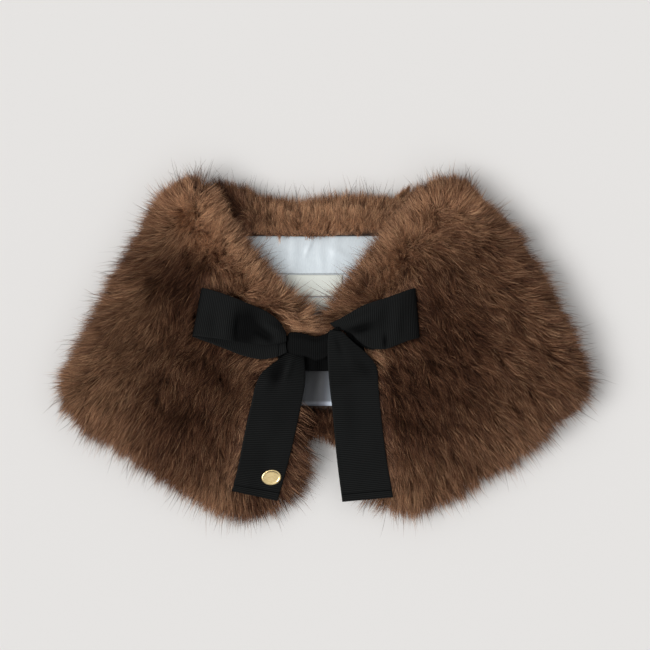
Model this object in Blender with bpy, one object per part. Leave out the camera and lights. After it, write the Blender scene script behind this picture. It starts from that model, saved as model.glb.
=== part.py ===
"""Fur collar wrap, laid flat: a short faux-fur shoulder collar tied at the neck with a ribbon bow.

The back panel lies fur side down. The two fronts are folded over it at the sides and tied at the
neck. Tables are in millimetres, in the plan of the laid-out collar: +X to the right, +Y from the
hem to the back of the neck, +Z up from the surface it lies on. Objects are built in metres.
"""

from collections import namedtuple

import bmesh
import bpy
import numpy as np
from mathutils import Vector
from mathutils.bvhtree import BVHTree

MM = 0.001

# Layers, from the surface up.
BACK_PILE = 12.0  # the back panel, its pile pressed by what lies on it
SEAM = 0.3  # between pieces that are sewn or laid together
LINING = 1.0
LABEL = 0.6
FRONT_PILE = 30.0  # a front panel with its pile
FACING_PILE = 17.0
RIBBON = 1.0

LINING_LEVEL = BACK_PILE + SEAM  # the underside of the lining and of the neck facing
FRONT_LEVEL = LINING_LEVEL + LINING + SEAM  # the underside of a front where it lies on the lining

# How a panel's top and underside round over at its edges.
FRONT_ROUND = 30.0
FRONT_ROUND_UNDER = 14.0
FACING_ROUND = 13.0
FACING_ROUND_UNDER = 6.0
BACK_ROUND = 8.0
RIM_SHARE = 0.36  # the rim's height as a share of the pile

# Where a front stands higher or lower than its pile: (height, reach).
FOLD_RAISE = (5.0, 48.0)  # along the side folds, where the cloth turns
NECK_RAISE = (4.0, 26.0)  # along the rolled neck edges
BOW_PRESS = (6.0, 34.0)  # under the bow
TAIL_PRESS = (3.5, 26.0)  # under the tails

# Where the fronts come down outside the back panel: (how far outside its outline they are right
# down, how wide the slope is).
UNDER_DROP = (19.0, 17.0)
CREST_DROP = (50.0, 62.0)

# Locks of fur: low ridges that fan out from a point inside the neck and are broken up on their way.
LOCK_CENTRE_Y = 120.0
LOCK_REACH = 150.0  # where a lock is LOCK_WIDTH wide
LOCK_WIDTH = 26.0
LOCK_LENGTH = 58.0
LOCK_HEIGHT = 1.8
RIDGE_SHARE = 0.55
Sway = namedtuple("Sway", "amount reach turns")
RIDGE_SWAYS = (Sway(1.3, 27.0, 4.0), Sway(0.8, 13.0, -7.0))
BREAK_SWAYS = ((2.6, 5.0), (1.1, 11.0))

# Grids are packed at the edges, at these shares of the rounding, and even between.
RIM_SHARES = (0.0, 0.05, 0.18, 0.42, 0.7, 1.0)

# The four edges of each panel, each a run of (x, y). neck and hem run from the front opening to
# the side, front and side run from the neck to the hem.
Panel = namedtuple("Panel", "neck hem front side")

LEFT = Panel(
    neck=((-5, 24), (-27, 46), (-47, 67), (-67, 89), (-84, 112), (-97, 135), (-109, 155), (-123, 171)),
    hem=((-24, -140), (-32, -155), (-48, -167), (-68, -174), (-92, -176), (-124, -162), (-161, -139),
         (-216, -101), (-245, -80), (-261, -68), (-270, -54)),
    front=((-5, 24), (-4.5, 14), (-12, -3), (-22, -32), (-20, -68), (-15, -98), (-17, -120), (-24, -140)),
    side=((-123, 171), (-140, 170), (-161, 157), (-188, 118), (-216, 71), (-242, 22), (-261, -17),
          (-268, -38), (-270, -54)),
)
RIGHT = Panel(
    neck=((-4, 24), (9, 46), (24, 70), (41, 93), (57, 115), (76, 138), (93, 157), (117, 171)),
    hem=((38, -149), (47, -162), (64, -169), (88, -172), (117, -163), (152, -143), (191, -118),
         (226, -91), (246, -73), (262, -57), (272, -42)),
    front=((-4, 24), (-3.5, 14), (6, -3), (14, -32), (19, -70), (28, -110), (38, -149)),
    side=((117, 171), (142, 170), (163, 157), (183, 132), (210, 93), (238, 42), (259, -2), (267, -21),
          (272, -42)),
)
# The back panel and its facing run from one side to the other, inside the folded fronts.
BACK = Panel(
    neck=((-128, 155), (-112, 163), (-90, 160), (-62, 149), (-25, 145), (20, 150), (62, 152), (92, 161),
          (114, 163), (130, 153)),
    hem=((-240, -50), (-180, -74), (-100, -90), (0, -97), (100, -89), (180, -72), (242, -44)),
    front=((-128, 155), (-150, 132), (-172, 88), (-204, 30), (-240, -50)),
    side=((130, 153), (154, 130), (178, 88), (208, 36), (242, -44)),
)
FACING = Panel(
    neck=((-107, 154), (-88, 157), (-62, 147), (-25, 143), (20, 148), (62, 150), (91, 157)),
    hem=((-82.5, 112), (-50, 111), (-22, 110), (10, 111), (55, 113.5)),
    front=((-107, 154), (-94.5, 133), (-82.5, 112)),
    side=((91, 157), (72.5, 135), (55, 113.5)),
)

# The lining's edges across the collar: under the facing, at the seam that holds the label, and at
# its hem between the fronts. Its ends lie under the fronts.
Edge = namedtuple("Edge", "y left right")
LINING_NECK = Edge(109.0, -106.0, 80.0)
LINING_SEAM = Edge(71.0, -88.0, 62.0)
LINING_HEM = Edge(-61.0, -60.0, 52.0)

# Creases of the lining where nothing lies on it.
Crease = namedtuple("Crease", "x y turn length width height")
CREASES = (
    Crease(-17.0, 99.0, 60.0, 24.0, 7.0, 1.6),
    Crease(-52.0, 92.0, 20.0, 34.0, 9.0, 1.2),
    Crease(16.0, 90.0, -30.0, 30.0, 9.0, 1.4),
)

Label = namedtuple("Label", "left right bottom top")
MAIN_LABEL = Label(-40.5, 16.5, 48.0, 70.2)
SIZE_LABEL = Label(-24.0, 6.0, 32.5, 47.2)

# A ribbon is a run of stations: its upper and lower edge in plan, how far its underside lifts off
# what it lies on, and how much its middle arches over its edges.
Station = namedtuple("Station", "upper_x upper_y lower_x lower_y lift arch")

BAND = (
    Station(-48.0, 10.0, -48.0, -21.0, 0.5, 0.0),
    Station(-30.0, 9.0, -30.0, -24.5, 0.5, 0.0),
    Station(-10.0, 8.0, -10.0, -26.0, 0.5, 0.0),
    Station(12.0, 8.0, 12.0, -25.0, 0.5, 0.0),
    Station(38.0, 8.0, 38.0, -22.0, 0.5, 0.0),
)
TAIL_LEFT = (
    Station(-33.0, 1.0, -22.0, -7.0, 0.5, 0.5),
    Station(-43.0, -11.0, -21.3, -17.0, 0.6, 2.4),
    Station(-55.0, -20.0, -20.8, -26.0, 0.7, 3.2),
    Station(-65.0, -29.0, -20.7, -33.0, 0.7, 2.4),
    Station(-70.0, -40.0, -21.5, -42.0, 0.6, 1.2),
    Station(-74.6, -59.4, -25.0, -60.0, 0.5, 0.4),
    Station(-81.3, -89.0, -31.5, -91.0, 0.5, 0.0),
    Station(-86.2, -114.0, -37.0, -114.5, 0.5, 0.0),
    Station(-93.7, -145.6, -48.5, -155.6, 0.5, 0.0),
)
TAIL_RIGHT = (
    Station(3.5, 15.5, 16.0, 13.5, 0.5, 0.3),
    Station(1.8, 6.0, 27.0, 3.0, 0.5, 0.6),
    Station(1.5, -7.0, 40.0, -8.0, 0.5, 1.2),
    Station(2.0, -21.0, 50.0, -21.0, 0.5, 1.0),
    Station(3.5, -40.0, 52.0, -40.0, 0.5, 0.6),
    Station(6.0, -62.0, 54.0, -62.5, 0.5, 0.0),
    Station(10.5, -111.0, 59.3, -107.0, 0.5, 0.0),
    Station(16.3, -156.6, 67.0, -151.8, 0.5, 0.0),
)
# Each loop runs from the knot along its upper layer, round its fold, and back beneath.
LOOP_LEFT = (
    Station(-40.0, 12.5, -38.8, 4.0, 9.0, 0.4),
    Station(-47.0, 24.0, -49.0, 1.0, 10.5, 2.0),
    Station(-59.0, 33.5, -62.4, 0.3, 12.0, 2.6),
    Station(-77.0, 41.5, -81.0, 2.0, 14.0, 2.2),
    Station(-97.0, 49.5, -102.2, 5.8, 14.0, 1.4),
    Station(-113.0, 54.6, -121.0, 8.2, 10.4, 0.8),
    Station(-121.0, 56.6, -129.8, 9.2, 7.0, 0.4),
    Station(-123.2, 57.0, -132.6, 8.8, 4.2, 0.2),
    Station(-121.0, 55.5, -130.0, 7.4, 1.6, 0.2),
    Station(-108.0, 50.0, -118.0, 3.0, 0.7, 0.2),
    Station(-92.0, 42.0, -100.0, -3.8, 0.7, 0.2),
    Station(-74.0, 32.0, -81.0, -11.0, 0.7, 0.3),
    Station(-58.0, 20.0, -62.0, -14.0, 1.0, 0.5),
    Station(-46.5, 9.0, -48.5, -11.5, 2.2, 0.8),
    Station(-40.0, 3.0, -38.8, -7.0, 3.2, 0.4),
)
LOOP_RIGHT = (
    Station(10.5, 24.0, 19.5, 14.5, 8.6, 0.4),
    Station(22.0, 31.0, 28.5, 9.0, 10.5, 2.0),
    Station(38.0, 39.8, 38.5, 0.0, 12.5, 2.6),
    Station(60.5, 47.4, 57.0, -4.2, 14.0, 2.2),
    Station(75.0, 52.5, 73.0, 1.2, 12.5, 1.4),
    Station(83.0, 55.4, 84.5, 5.4, 9.8, 0.8),
    Station(87.4, 56.4, 90.6, 6.6, 6.8, 0.4),
    Station(88.6, 56.6, 92.8, 7.4, 4.1, 0.2),
    Station(86.6, 55.4, 90.5, 7.6, 1.6, 0.2),
    Station(76.0, 51.0, 78.0, 4.0, 0.7, 0.2),
    Station(60.0, 44.5, 60.0, -1.5, 0.7, 0.2),
    Station(44.0, 36.5, 44.0, -4.5, 0.8, 0.3),
    Station(29.0, 28.0, 31.0, 2.0, 1.6, 0.6),
    Station(15.0, 18.5, 21.5, 10.0, 3.2, 0.4),
)

# The knot: rings along it, from its left end to its right. bottom and top are heights over the
# ribbons that it lies on.
Ring = namedtuple("Ring", "x y half_width bottom top")
KNOT = (
    Ring(-38.4, 2.5, 7.0, 2.2, 7.4),
    Ring(-36.2, 2.0, 10.2, 0.6, 9.6),
    Ring(-30.0, 1.2, 11.6, 0.0, 11.2),
    Ring(-20.0, -0.4, 11.2, 0.0, 12.2),
    Ring(-10.0, -3.6, 11.8, 0.0, 12.2),
    Ring(-1.0, -1.4, 11.8, 0.0, 11.4),
    Ring(6.0, 4.0, 11.4, 0.0, 10.4),
    Ring(11.5, 8.2, 10.0, 0.6, 8.8),
    Ring(14.0, 10.4, 7.6, 2.0, 7.2),
)
KNOT_SIDES = 20
KNOT_SQUARE = 0.72  # 1 for an ellipse, less for a flatter ring

# The plain metal trim on the left tail.
TRIM_CENTRE = (-54.5, -132.0)
TRIM_HALF = (10.0, 7.8)
TRIM_TURN = 8.0  # degrees
TRIM_SIDES = 28
TrimRing = namedtuple("TrimRing", "share height")
TRIM = (TrimRing(0.5, 1.6), TrimRing(0.86, 1.5), TrimRing(1.0, 0.9))  # from the middle to the rim

# The plan over which ribbons are laid: its low corner, its cells and their size.
PLAN_LOW = (-150.0, -175.0)
PLAN_CELLS = (108, 104)
PLAN_CELL = 2.5
# How steeply a ribbon comes down off what it lies on: along it and across it.
FALL_ALONG = 0.5
FALL_ACROSS = 0.12
RIBBON_STEP = 7.5
RIBBON_COLUMNS = 6

# Colours and finishes: base colour, roughness, metallic.
FUR = ((0.13, 0.065, 0.035, 1), 0.8, 0.0)
SATIN = ((0.72, 0.77, 0.84, 1), 0.35, 0.0)
WOVEN = ((0.82, 0.84, 0.80, 1), 0.7, 0.0)
GROSGRAIN = ((0.012, 0.012, 0.013, 1), 0.65, 0.0)
GOLD = ((0.83, 0.65, 0.32, 1), 0.25, 1.0)


# Curves and distances in plan


def lengths(points):
    """How far along a run of points each of them is."""
    steps = np.linalg.norm(np.diff(np.asarray(points, float), axis=0), axis=1)
    return np.concatenate([[0.0], np.cumsum(steps)])


def through(points, shares):
    """A smooth curve through the points, read at shares of its length."""
    points = np.asarray(points, float)
    along = lengths(points)
    slope = np.gradient(points, along, axis=0)
    at = np.clip(shares, 0.0, 1.0) * along[-1]
    i = np.clip(np.searchsorted(along, at, side="right") - 1, 0, len(along) - 2)
    span = along[i + 1] - along[i]
    t = ((at - along[i]) / span)[:, None]
    span = span[:, None]
    rise = t * t * (3 - 2 * t)
    return (
        points[i] * (1 - rise)
        + points[i + 1] * rise
        + slope[i] * span * t * (1 - t) ** 2
        - slope[i + 1] * span * t * t * (1 - t)
    )


def at_index(points, index):
    """A smooth curve through the points, read at fractional numbers of its points."""
    along = lengths(points)
    return through(points, np.interp(index, np.arange(len(along)), along / along[-1]))


def smooth_step(x):
    x = np.clip(x, 0.0, 1.0)
    return x * x * (3 - 2 * x)


def dome(x):
    """A quarter circle's height: 0 and upright at x = 0, and 1 from x = 1 on."""
    x = np.clip(x, 0.0, 1.0)
    return np.sqrt(1.0 - (1.0 - x) ** 2)


def distance_to(points, line):
    """How far each point is from a line of points."""
    best = np.full(len(points), np.inf)
    for start, end in zip(line[:-1], line[1:]):
        way = end - start
        share = np.clip(((points - start) @ way) / max(way @ way, 1e-12), 0.0, 1.0)
        best = np.minimum(best, np.linalg.norm(points - start - share[:, None] * way, axis=1))
    return best


def is_inside(points, outline):
    """Whether each point is inside a closed outline."""
    inside = np.zeros(len(points), bool)
    x, y = points[:, 0], points[:, 1]
    for (x0, y0), (x1, y1) in zip(outline[:-1], outline[1:]):
        if y0 != y1:
            crosses = (y0 > y) != (y1 > y)
            inside ^= crosses & (x < x0 + (y - y0) * (x1 - x0) / (y1 - y0))
    return inside


def outline_of(panel, count=60):
    """A panel's outline as one closed line."""
    shares = np.linspace(0, 1, count)
    return np.concatenate(
        [
            through(panel.neck, shares)[:-1],
            through(panel.side, shares)[:-1],
            through(panel.hem, shares)[::-1][:-1],
            through(panel.front, shares)[::-1],
        ]
    )


def depth_in(points, outline):
    """Distance to the outline, positive inside it and negative outside."""
    away = distance_to(points, outline)
    return np.where(is_inside(points, outline), away, -away)


def middle_of(stations):
    """The middle line of a ribbon in plan."""
    table = np.array(stations)
    return (table[:, 0:2] + table[:, 2:4]) / 2


# The heights of the panels over their plan


def near(points, line, height_and_reach):
    """A height that fades with the distance from a line."""
    height, reach = height_and_reach
    return height * np.exp(-((distance_to(points, line) / reach) ** 2))


def locks(points):
    """Low ridges of fur that fan out from the neck, broken up along the nap, from -1 to 1."""
    x, y = points[:, 0], points[:, 1] - LOCK_CENTRE_Y
    turn, reach = np.arctan2(x, -y), np.hypot(x, y)
    lean = sum(sway.amount * np.sin(reach / sway.reach + sway.turns * turn) for sway in RIDGE_SWAYS)
    ridge = np.sin(2 * np.pi * turn * LOCK_REACH / LOCK_WIDTH + lean)
    shift = sum(amount * np.sin(turns * turn) for amount, turns in BREAK_SWAYS)
    broken = np.sin(2 * np.pi * reach / LOCK_LENGTH + shift)
    return RIDGE_SHARE * ridge * (0.6 + 0.4 * broken) + (1 - RIDGE_SHARE) * broken


BACK_OUTLINE = outline_of(BACK)
LOOPS_MIDDLE = np.concatenate([middle_of(LOOP_LEFT[:8])[::-1], middle_of(LOOP_RIGHT[:8])])


def over_back(points, drop):
    """1 over the back panel and 0 where a front is right down beside it."""
    outside, width = drop
    return smooth_step((depth_in(points, BACK_OUTLINE) + outside) / width)


def front_under(points):
    """The underside of a front: on the lining, and down to the surface outside the back panel."""
    return FRONT_LEVEL * over_back(points, UNDER_DROP)


def front_crest(points, panel):
    """The height of a front's fur away from its edges."""
    shares = np.linspace(0, 1, 40)
    raised = near(points, through(panel.side, shares), FOLD_RAISE)
    raised += near(points, through(panel.neck, shares), NECK_RAISE)
    pressed = near(points, LOOPS_MIDDLE, BOW_PRESS)
    tails = [near(points, middle_of(tail), TAIL_PRESS) for tail in (TAIL_LEFT, TAIL_RIGHT)]
    raised += FRONT_LEVEL * over_back(points, CREST_DROP)
    return FRONT_PILE + raised - np.maximum(pressed, np.maximum(*tails))


def front_rim(points, panel):
    under = front_under(points)
    return under + RIM_SHARE * (front_crest(points, panel) - under)


def front_top(points, panel, outline):
    raised = dome(depth_in(points, outline) / FRONT_ROUND)
    rim = front_rim(points, panel)
    return rim + (front_crest(points, panel) - rim + LOCK_HEIGHT * locks(points)) * raised


def rounded_under(points, outline, level, rim, radius):
    """A flat underside whose edge rounds up to the rim."""
    return rim - (rim - level) * dome(depth_in(points, outline) / radius)


# Building objects


def material(name, finish):
    """A material with its base colour, roughness and metallic value."""
    colour, roughness, metallic = finish
    made = bpy.data.materials.get(name) or bpy.data.materials.new(name)
    made.use_nodes = True
    shader = made.node_tree.nodes["Principled BSDF"]
    shader.inputs["Base Color"].default_value = colour
    shader.inputs["Roughness"].default_value = roughness
    shader.inputs["Metallic"].default_value = metallic
    made.diffuse_color = colour
    return made


def add_object(name, points, faces, finish_name, finish):
    """One object from points in millimetres, with its faces turned outwards."""
    mesh = bpy.data.meshes.new(name)
    mesh.from_pydata([tuple(p) for p in np.asarray(points) * MM], [], faces)
    edit = bmesh.new()
    edit.from_mesh(mesh)
    bmesh.ops.recalc_face_normals(edit, faces=edit.faces)
    if edit.calc_volume(signed=True) < 0:
        bmesh.ops.reverse_faces(edit, faces=edit.faces)
    edit.to_mesh(mesh)
    edit.free()
    mesh.materials.append(material(finish_name, finish))
    mesh.shade_smooth()
    made = bpy.data.objects.new(name, mesh)
    bpy.context.scene.collection.objects.link(made)
    return made


def grid_faces(index):
    """The quads between neighbouring points of a grid of point numbers."""
    rows, columns = index.shape
    return [
        [int(index[r, c]), int(index[r, c + 1]), int(index[r + 1, c + 1]), int(index[r + 1, c])]
        for r in range(rows - 1)
        for c in range(columns - 1)
    ]


def packed(length, step, radius):
    """Shares of a side: close together in the rounded rims, then even."""
    rim = np.array(RIM_SHARES) * min(radius / length, 0.42)
    count = max(2, round((1 - 2 * rim[-1]) * length / step))
    middle = np.linspace(rim[-1], 1 - rim[-1], count + 1)[1:-1]
    return np.concatenate([rim, middle, (1 - rim)[::-1]])


def patch(panel, step, radius):
    """A grid of plan points between a panel's four edges."""
    across = packed(lengths(panel.hem)[-1], step, radius)
    down = packed(lengths(panel.side)[-1], step, radius)
    neck, hem = through(panel.neck, across), through(panel.hem, across)
    front, side = through(panel.front, down), through(panel.side, down)
    u, v = across[None, :, None], down[:, None, None]
    corners = (
        (1 - u) * (1 - v) * neck[0] + u * (1 - v) * neck[-1] + (1 - u) * v * hem[0] + u * v * hem[-1]
    )
    return (1 - v) * neck + v * hem + (1 - u) * front[:, None] + u * side[:, None] - corners


def add_slab(name, plan, under, rim, top, finish_name, finish):
    """A closed solid over a grid of plan points, between an underside and a top that meet in a rim.

    under, rim and top give heights for plan points."""
    rows, columns = plan.shape[:2]
    flat = plan.reshape(-1, 2)
    on_rim = np.ones((rows, columns), bool)
    on_rim[1:-1, 1:-1] = False
    on_rim = on_rim.ravel()
    upper = np.column_stack([flat, np.where(on_rim, rim(flat), top(flat))])
    lower = np.column_stack([flat, under(flat)])[~on_rim]
    upper_index = np.arange(rows * columns)
    lower_index = upper_index.copy()
    lower_index[~on_rim] = rows * columns + np.arange(len(lower))
    faces = grid_faces(upper_index.reshape(rows, columns))
    faces += [face[::-1] for face in grid_faces(lower_index.reshape(rows, columns))]
    return add_object(name, np.concatenate([upper, lower]), faces, finish_name, finish)


def add_shell(name, middle, thick, finish_name, finish):
    """A closed sheet of even thickness about a grid of points in space."""
    rows, columns = middle.shape[:2]
    across = np.gradient(middle, axis=1)
    along = np.gradient(middle, axis=0)
    normal = np.cross(across, along)
    normal /= np.linalg.norm(normal, axis=2)[:, :, None]
    upper = middle + normal * thick / 2
    lower = middle - normal * thick / 2
    index = np.arange(rows * columns).reshape(rows, columns)
    other = index + rows * columns
    faces = grid_faces(index) + [face[::-1] for face in grid_faces(other)]
    edges = [index[0, :], index[:, -1], index[-1, ::-1], index[::-1, 0]]
    for a, b in ((a, b) for edge in edges for a, b in zip(edge[:-1], edge[1:])):
        faces.append([int(b), int(a), int(a) + rows * columns, int(b) + rows * columns])
    points = np.concatenate([upper.reshape(-1, 3), lower.reshape(-1, 3)])
    return add_object(name, points, faces, finish_name, finish)


def fur(name, plan, under, rim, top):
    return add_slab(name, plan, under, rim, top, "fur", FUR)


def add_back():
    rim = 0.5 * BACK_PILE

    def top(p):
        return rim + (BACK_PILE - rim) * dome(depth_in(p, BACK_OUTLINE) / BACK_ROUND)

    def under(p):
        return rounded_under(p, BACK_OUTLINE, 0.0, rim, BACK_ROUND)

    return fur("back", patch(BACK, 20.0, BACK_ROUND), under, lambda p: np.full(len(p), rim), top)


def add_front(name, panel):
    outline = outline_of(panel)

    def rim(p):
        return front_rim(p, panel)

    def top(p):
        return front_top(p, panel, outline)

    def under(p):
        return rounded_under(p, outline, front_under(p), rim(p), FRONT_ROUND_UNDER)

    return fur(name, patch(panel, 10.5, FRONT_ROUND), under, rim, top)


def add_facing():
    """The fur facing inside the back neck, on the back panel above the lining."""
    outline = outline_of(FACING)
    rim = LINING_LEVEL + RIM_SHARE * FACING_PILE

    def top(p):
        raised = dome(depth_in(p, outline) / FACING_ROUND)
        return rim + (LINING_LEVEL + FACING_PILE - rim + LOCK_HEIGHT * locks(p)) * raised

    def under(p):
        return rounded_under(p, outline, LINING_LEVEL, rim, FACING_ROUND_UNDER)

    plan = patch(FACING, 12.0, FACING_ROUND)
    return fur("neck_facing", plan, under, lambda p: np.full(len(p), rim), top)


def creased(points):
    """How far the lining's creases lift it."""
    lift = np.zeros(len(points))
    for crease in CREASES:
        turn = np.radians(crease.turn)
        x, y = points[:, 0] - crease.x, points[:, 1] - crease.y
        along = (x * np.cos(turn) + y * np.sin(turn)) / (crease.length / 2)
        across = (y * np.cos(turn) - x * np.sin(turn)) / (crease.width / 2)
        lift += crease.height * np.exp(-(along**2) * 1.5 - across**2)
    return lift


def add_lining(name, upper, lower, columns, rows):
    """One cut of the lining between two of its edges, flat but for its creases."""
    down = np.linspace(0, 1, rows + 1)[:, None]
    across = np.linspace(0, 1, columns + 1)[None, :]
    left = upper.left + (lower.left - upper.left) * down
    right = upper.right + (lower.right - upper.right) * down
    x = left + (right - left) * across
    y = upper.y + (lower.y - upper.y) * down + 0 * across
    lift = creased(np.column_stack([x.ravel(), y.ravel()])).reshape(x.shape)
    middle = np.dstack([x, y, LINING_LEVEL + LINING / 2 + lift])
    return add_shell(name, middle, LINING, "satin", SATIN)


def add_label(name, label):
    x = np.linspace(label.left, label.right, 5)[None, :] + np.zeros((3, 1))
    y = np.linspace(label.top, label.bottom, 3)[:, None] + np.zeros((1, 5))
    z = np.full(x.shape, LINING_LEVEL + LINING + SEAM + LABEL / 2)
    return add_shell(name, np.dstack([x, y, z]), LABEL, "woven", WOVEN)


# Laying ribbons on what is already there


def tree_of(objects):
    points, faces = [], []
    for made in objects:
        first = len(points)
        points += [vertex.co.copy() for vertex in made.data.vertices]
        faces += [[first + i for i in face.vertices] for face in made.data.polygons]
    return BVHTree.FromPolygons(points, faces)


def height_at(tree, x, y):
    """The highest point of the objects over a plan point, in millimetres."""
    hit = tree.ray_cast(Vector((x * MM, y * MM, 0.3)), Vector((0, 0, -1)))[0]
    return hit.z / MM if hit else 0.0


def neighbours(cells):
    """The cells' eight neighbours, each as a whole grid."""
    wide = np.pad(cells, 1)
    rows, columns = cells.shape
    return [
        wide[1 + i : 1 + i + rows, 1 + j : 1 + j + columns]
        for i in (-1, 0, 1)
        for j in (-1, 0, 1)
        if i or j
    ]


def bed_over(objects, fall_x, fall_y):
    """The height that a ribbon takes over the objects, for each cell of the plan: over their high
    points, and coming down from them by no more than fall_x and fall_y a millimetre."""
    tree = tree_of(objects)
    xs = PLAN_LOW[0] + PLAN_CELL * np.arange(PLAN_CELLS[0])
    ys = PLAN_LOW[1] + PLAN_CELL * np.arange(PLAN_CELLS[1])
    cells = np.array([[height_at(tree, x, y) for x in xs] for y in ys])
    for _ in range(2):
        cells = np.maximum.reduce([cells] + neighbours(cells))
    for axis, fall in ((1, fall_x), (0, fall_y)):
        rows = np.moveaxis(cells, axis, 0)
        for before, at in zip(range(len(rows) - 1), range(1, len(rows))):
            rows[at] = np.maximum(rows[at], rows[before] - fall * PLAN_CELL)
            rows[-1 - at] = np.maximum(rows[-1 - at], rows[-1 - before] - fall * PLAN_CELL)
    for _ in range(2):
        edge = np.pad(cells, 1, mode="edge")
        cells = (cells + sum(neighbours(edge))[1:-1, 1:-1]) / 9
    return cells


def read_bed(bed, x, y):
    """The bed's height at plan points, even between the middles of its cells."""
    u = np.clip((x - PLAN_LOW[0]) / PLAN_CELL, 0, PLAN_CELLS[0] - 1.001)
    v = np.clip((y - PLAN_LOW[1]) / PLAN_CELL, 0, PLAN_CELLS[1] - 1.001)
    i, j = u.astype(int), v.astype(int)
    u, v = u - i, v - j
    low = bed[j, i] * (1 - u) + bed[j, i + 1] * u
    high = bed[j + 1, i] * (1 - u) + bed[j + 1, i + 1] * u
    return low * (1 - v) + high * v


def add_ribbon(name, stations, bed):
    """A ribbon through its stations, laid over the bed."""
    table = np.array(stations)
    steps = np.maximum(2, np.ceil(np.diff(lengths(middle_of(stations))) / RIBBON_STEP)).astype(int)
    index = np.concatenate([i + np.arange(n) / n for i, n in enumerate(steps)] + [[len(steps)]])
    upper = at_index(table[:, [0, 1, 4]], index)[:, None, :]
    lower = at_index(table[:, [2, 3, 4]], index)[:, None, :]
    arch = np.interp(index, np.arange(len(table)), table[:, 5])[:, None]
    across = np.linspace(0, 1, RIBBON_COLUMNS + 1)[None, :, None]
    middle = upper * (1 - across) + lower * across
    middle[:, :, 2] += read_bed(bed, middle[:, :, 0], middle[:, :, 1]) + RIBBON / 2
    middle[:, :, 2] += arch * 4 * across[:, :, 0] * (1 - across[:, :, 0])
    return add_shell(name, middle, RIBBON, "grosgrain", GROSGRAIN)


def ring_points(ring):
    """The points of one of the knot's rings, a flattened ellipse."""
    turns = np.linspace(0, 2 * np.pi, KNOT_SIDES, endpoint=False)
    side = np.sign(np.cos(turns)) * np.abs(np.cos(turns)) ** KNOT_SQUARE
    rise = np.sign(np.sin(turns)) * np.abs(np.sin(turns)) ** KNOT_SQUARE
    y = ring.y + ring.half_width * side
    z = (ring.bottom + ring.top) / 2 + (ring.top - ring.bottom) / 2 * rise
    return np.column_stack([np.full(KNOT_SIDES, ring.x), y, z])


def add_knot(objects):
    """The knot: rings along it, closed at both ends, lowered onto what lies under it."""
    tree = tree_of(objects)
    points = np.concatenate([ring_points(ring) for ring in KNOT])
    index = np.arange(len(points)).reshape(len(KNOT), KNOT_SIDES)
    faces = grid_faces(np.column_stack([index, index[:, :1]]))
    for end in (0, -1):
        points = np.vstack([points, points[index[end]].mean(axis=0)])
        faces += [[int(a), int(b), len(points) - 1] for a, b in zip(index[end], np.roll(index[end], -1))]
    points[:, 2] += SEAM + max(height_at(tree, x, y) - z for x, y, z in points)
    return add_object("knot", points, faces, "grosgrain", GROSGRAIN)


def add_trim(under):
    """A plain oval plate that follows the ribbon it is fixed to."""
    tree = tree_of([under])
    turns = np.linspace(0, 2 * np.pi, TRIM_SIDES, endpoint=False)
    oval = np.column_stack([TRIM_HALF[0] * np.cos(turns), TRIM_HALF[1] * np.sin(turns)])
    turn = np.radians(TRIM_TURN)
    oval = oval @ np.array([[np.cos(turn), np.sin(turn)], [-np.sin(turn), np.cos(turn)]])
    points = []
    for side in (1, 0):  # the face, then the back
        for ring in TRIM:
            plan = np.array(TRIM_CENTRE) + oval * ring.share
            points += [(x, y, height_at(tree, x, y) + SEAM + side * ring.height) for x, y in plan]
        x, y = TRIM_CENTRE
        points.append((x, y, height_at(tree, x, y) + SEAM + side * TRIM[0].height))
    size = TRIM_SIDES * len(TRIM) + 1
    upper = np.arange(size - 1).reshape(len(TRIM), TRIM_SIDES)
    upper = np.column_stack([upper, upper[:, :1]])
    lower = upper + size
    faces = grid_faces(upper) + grid_faces(lower) + grid_faces(np.array([upper[-1], lower[-1]]))
    for inner, middle in ((upper[0], size - 1), (lower[0], 2 * size - 1)):
        faces += [[int(a), int(b), middle] for a, b in zip(inner[:-1], inner[1:])]
    return add_object("tail_trim", points, faces, "gold", GOLD)


def centre(objects):
    """Puts the middle of the whole thing over the origin, with its underside at z = 0."""
    points = np.array([tuple(v.co) for made in objects for v in made.data.vertices])
    low, high = points.min(axis=0), points.max(axis=0)
    shift = Vector((-(low[0] + high[0]) / 2, -(low[1] + high[1]) / 2, -low[2]))
    for made in objects:
        for vertex in made.data.vertices:
            vertex.co += shift


def main():
    for old in list(bpy.data.objects):
        bpy.data.objects.remove(old, do_unlink=True)
    fronts = [add_front("front_left", LEFT), add_front("front_right", RIGHT)]
    made = [add_back(), add_facing()] + fronts
    band_low = LINING_SEAM._replace(y=LINING_SEAM.y + SEAM)
    made.append(add_lining("lining_band", LINING_NECK, band_low, columns=26, rows=8))
    made.append(add_lining("lining_body", LINING_SEAM, LINING_HEM, columns=8, rows=6))
    made += [add_label("label_main", MAIN_LABEL), add_label("label_size", SIZE_LABEL)]
    band = add_ribbon("ribbon_band", BAND, bed_over(fronts, FALL_ALONG, FALL_ACROSS))
    bed = bed_over(fronts + [band], FALL_ACROSS, FALL_ALONG)
    tail_left = add_ribbon("tail_left", TAIL_LEFT, bed)
    bed = bed_over(fronts + [band, tail_left], FALL_ALONG, FALL_ACROSS)
    loops = [add_ribbon("loop_left", LOOP_LEFT, bed), add_ribbon("loop_right", LOOP_RIGHT, bed)]
    knot = add_knot(fronts + [band, tail_left])
    bed = bed_over(fronts + [band, knot], FALL_ACROSS, FALL_ALONG)
    tail_right = add_ribbon("tail_right", TAIL_RIGHT, bed)
    made += [band, tail_left, knot, tail_right, add_trim(tail_left)] + loops
    centre(made)


main()
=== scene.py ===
"""Looks of the fur collar wrap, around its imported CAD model: fur, satin, tape, ribbon and trim.

Tables are in millimetres in the model's frame unless they say otherwise: +X to the right of the
collar seen from above, +Y from the hem to the back of the neck, +Z up. Meshes are in metres.
"""

from collections import namedtuple

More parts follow.
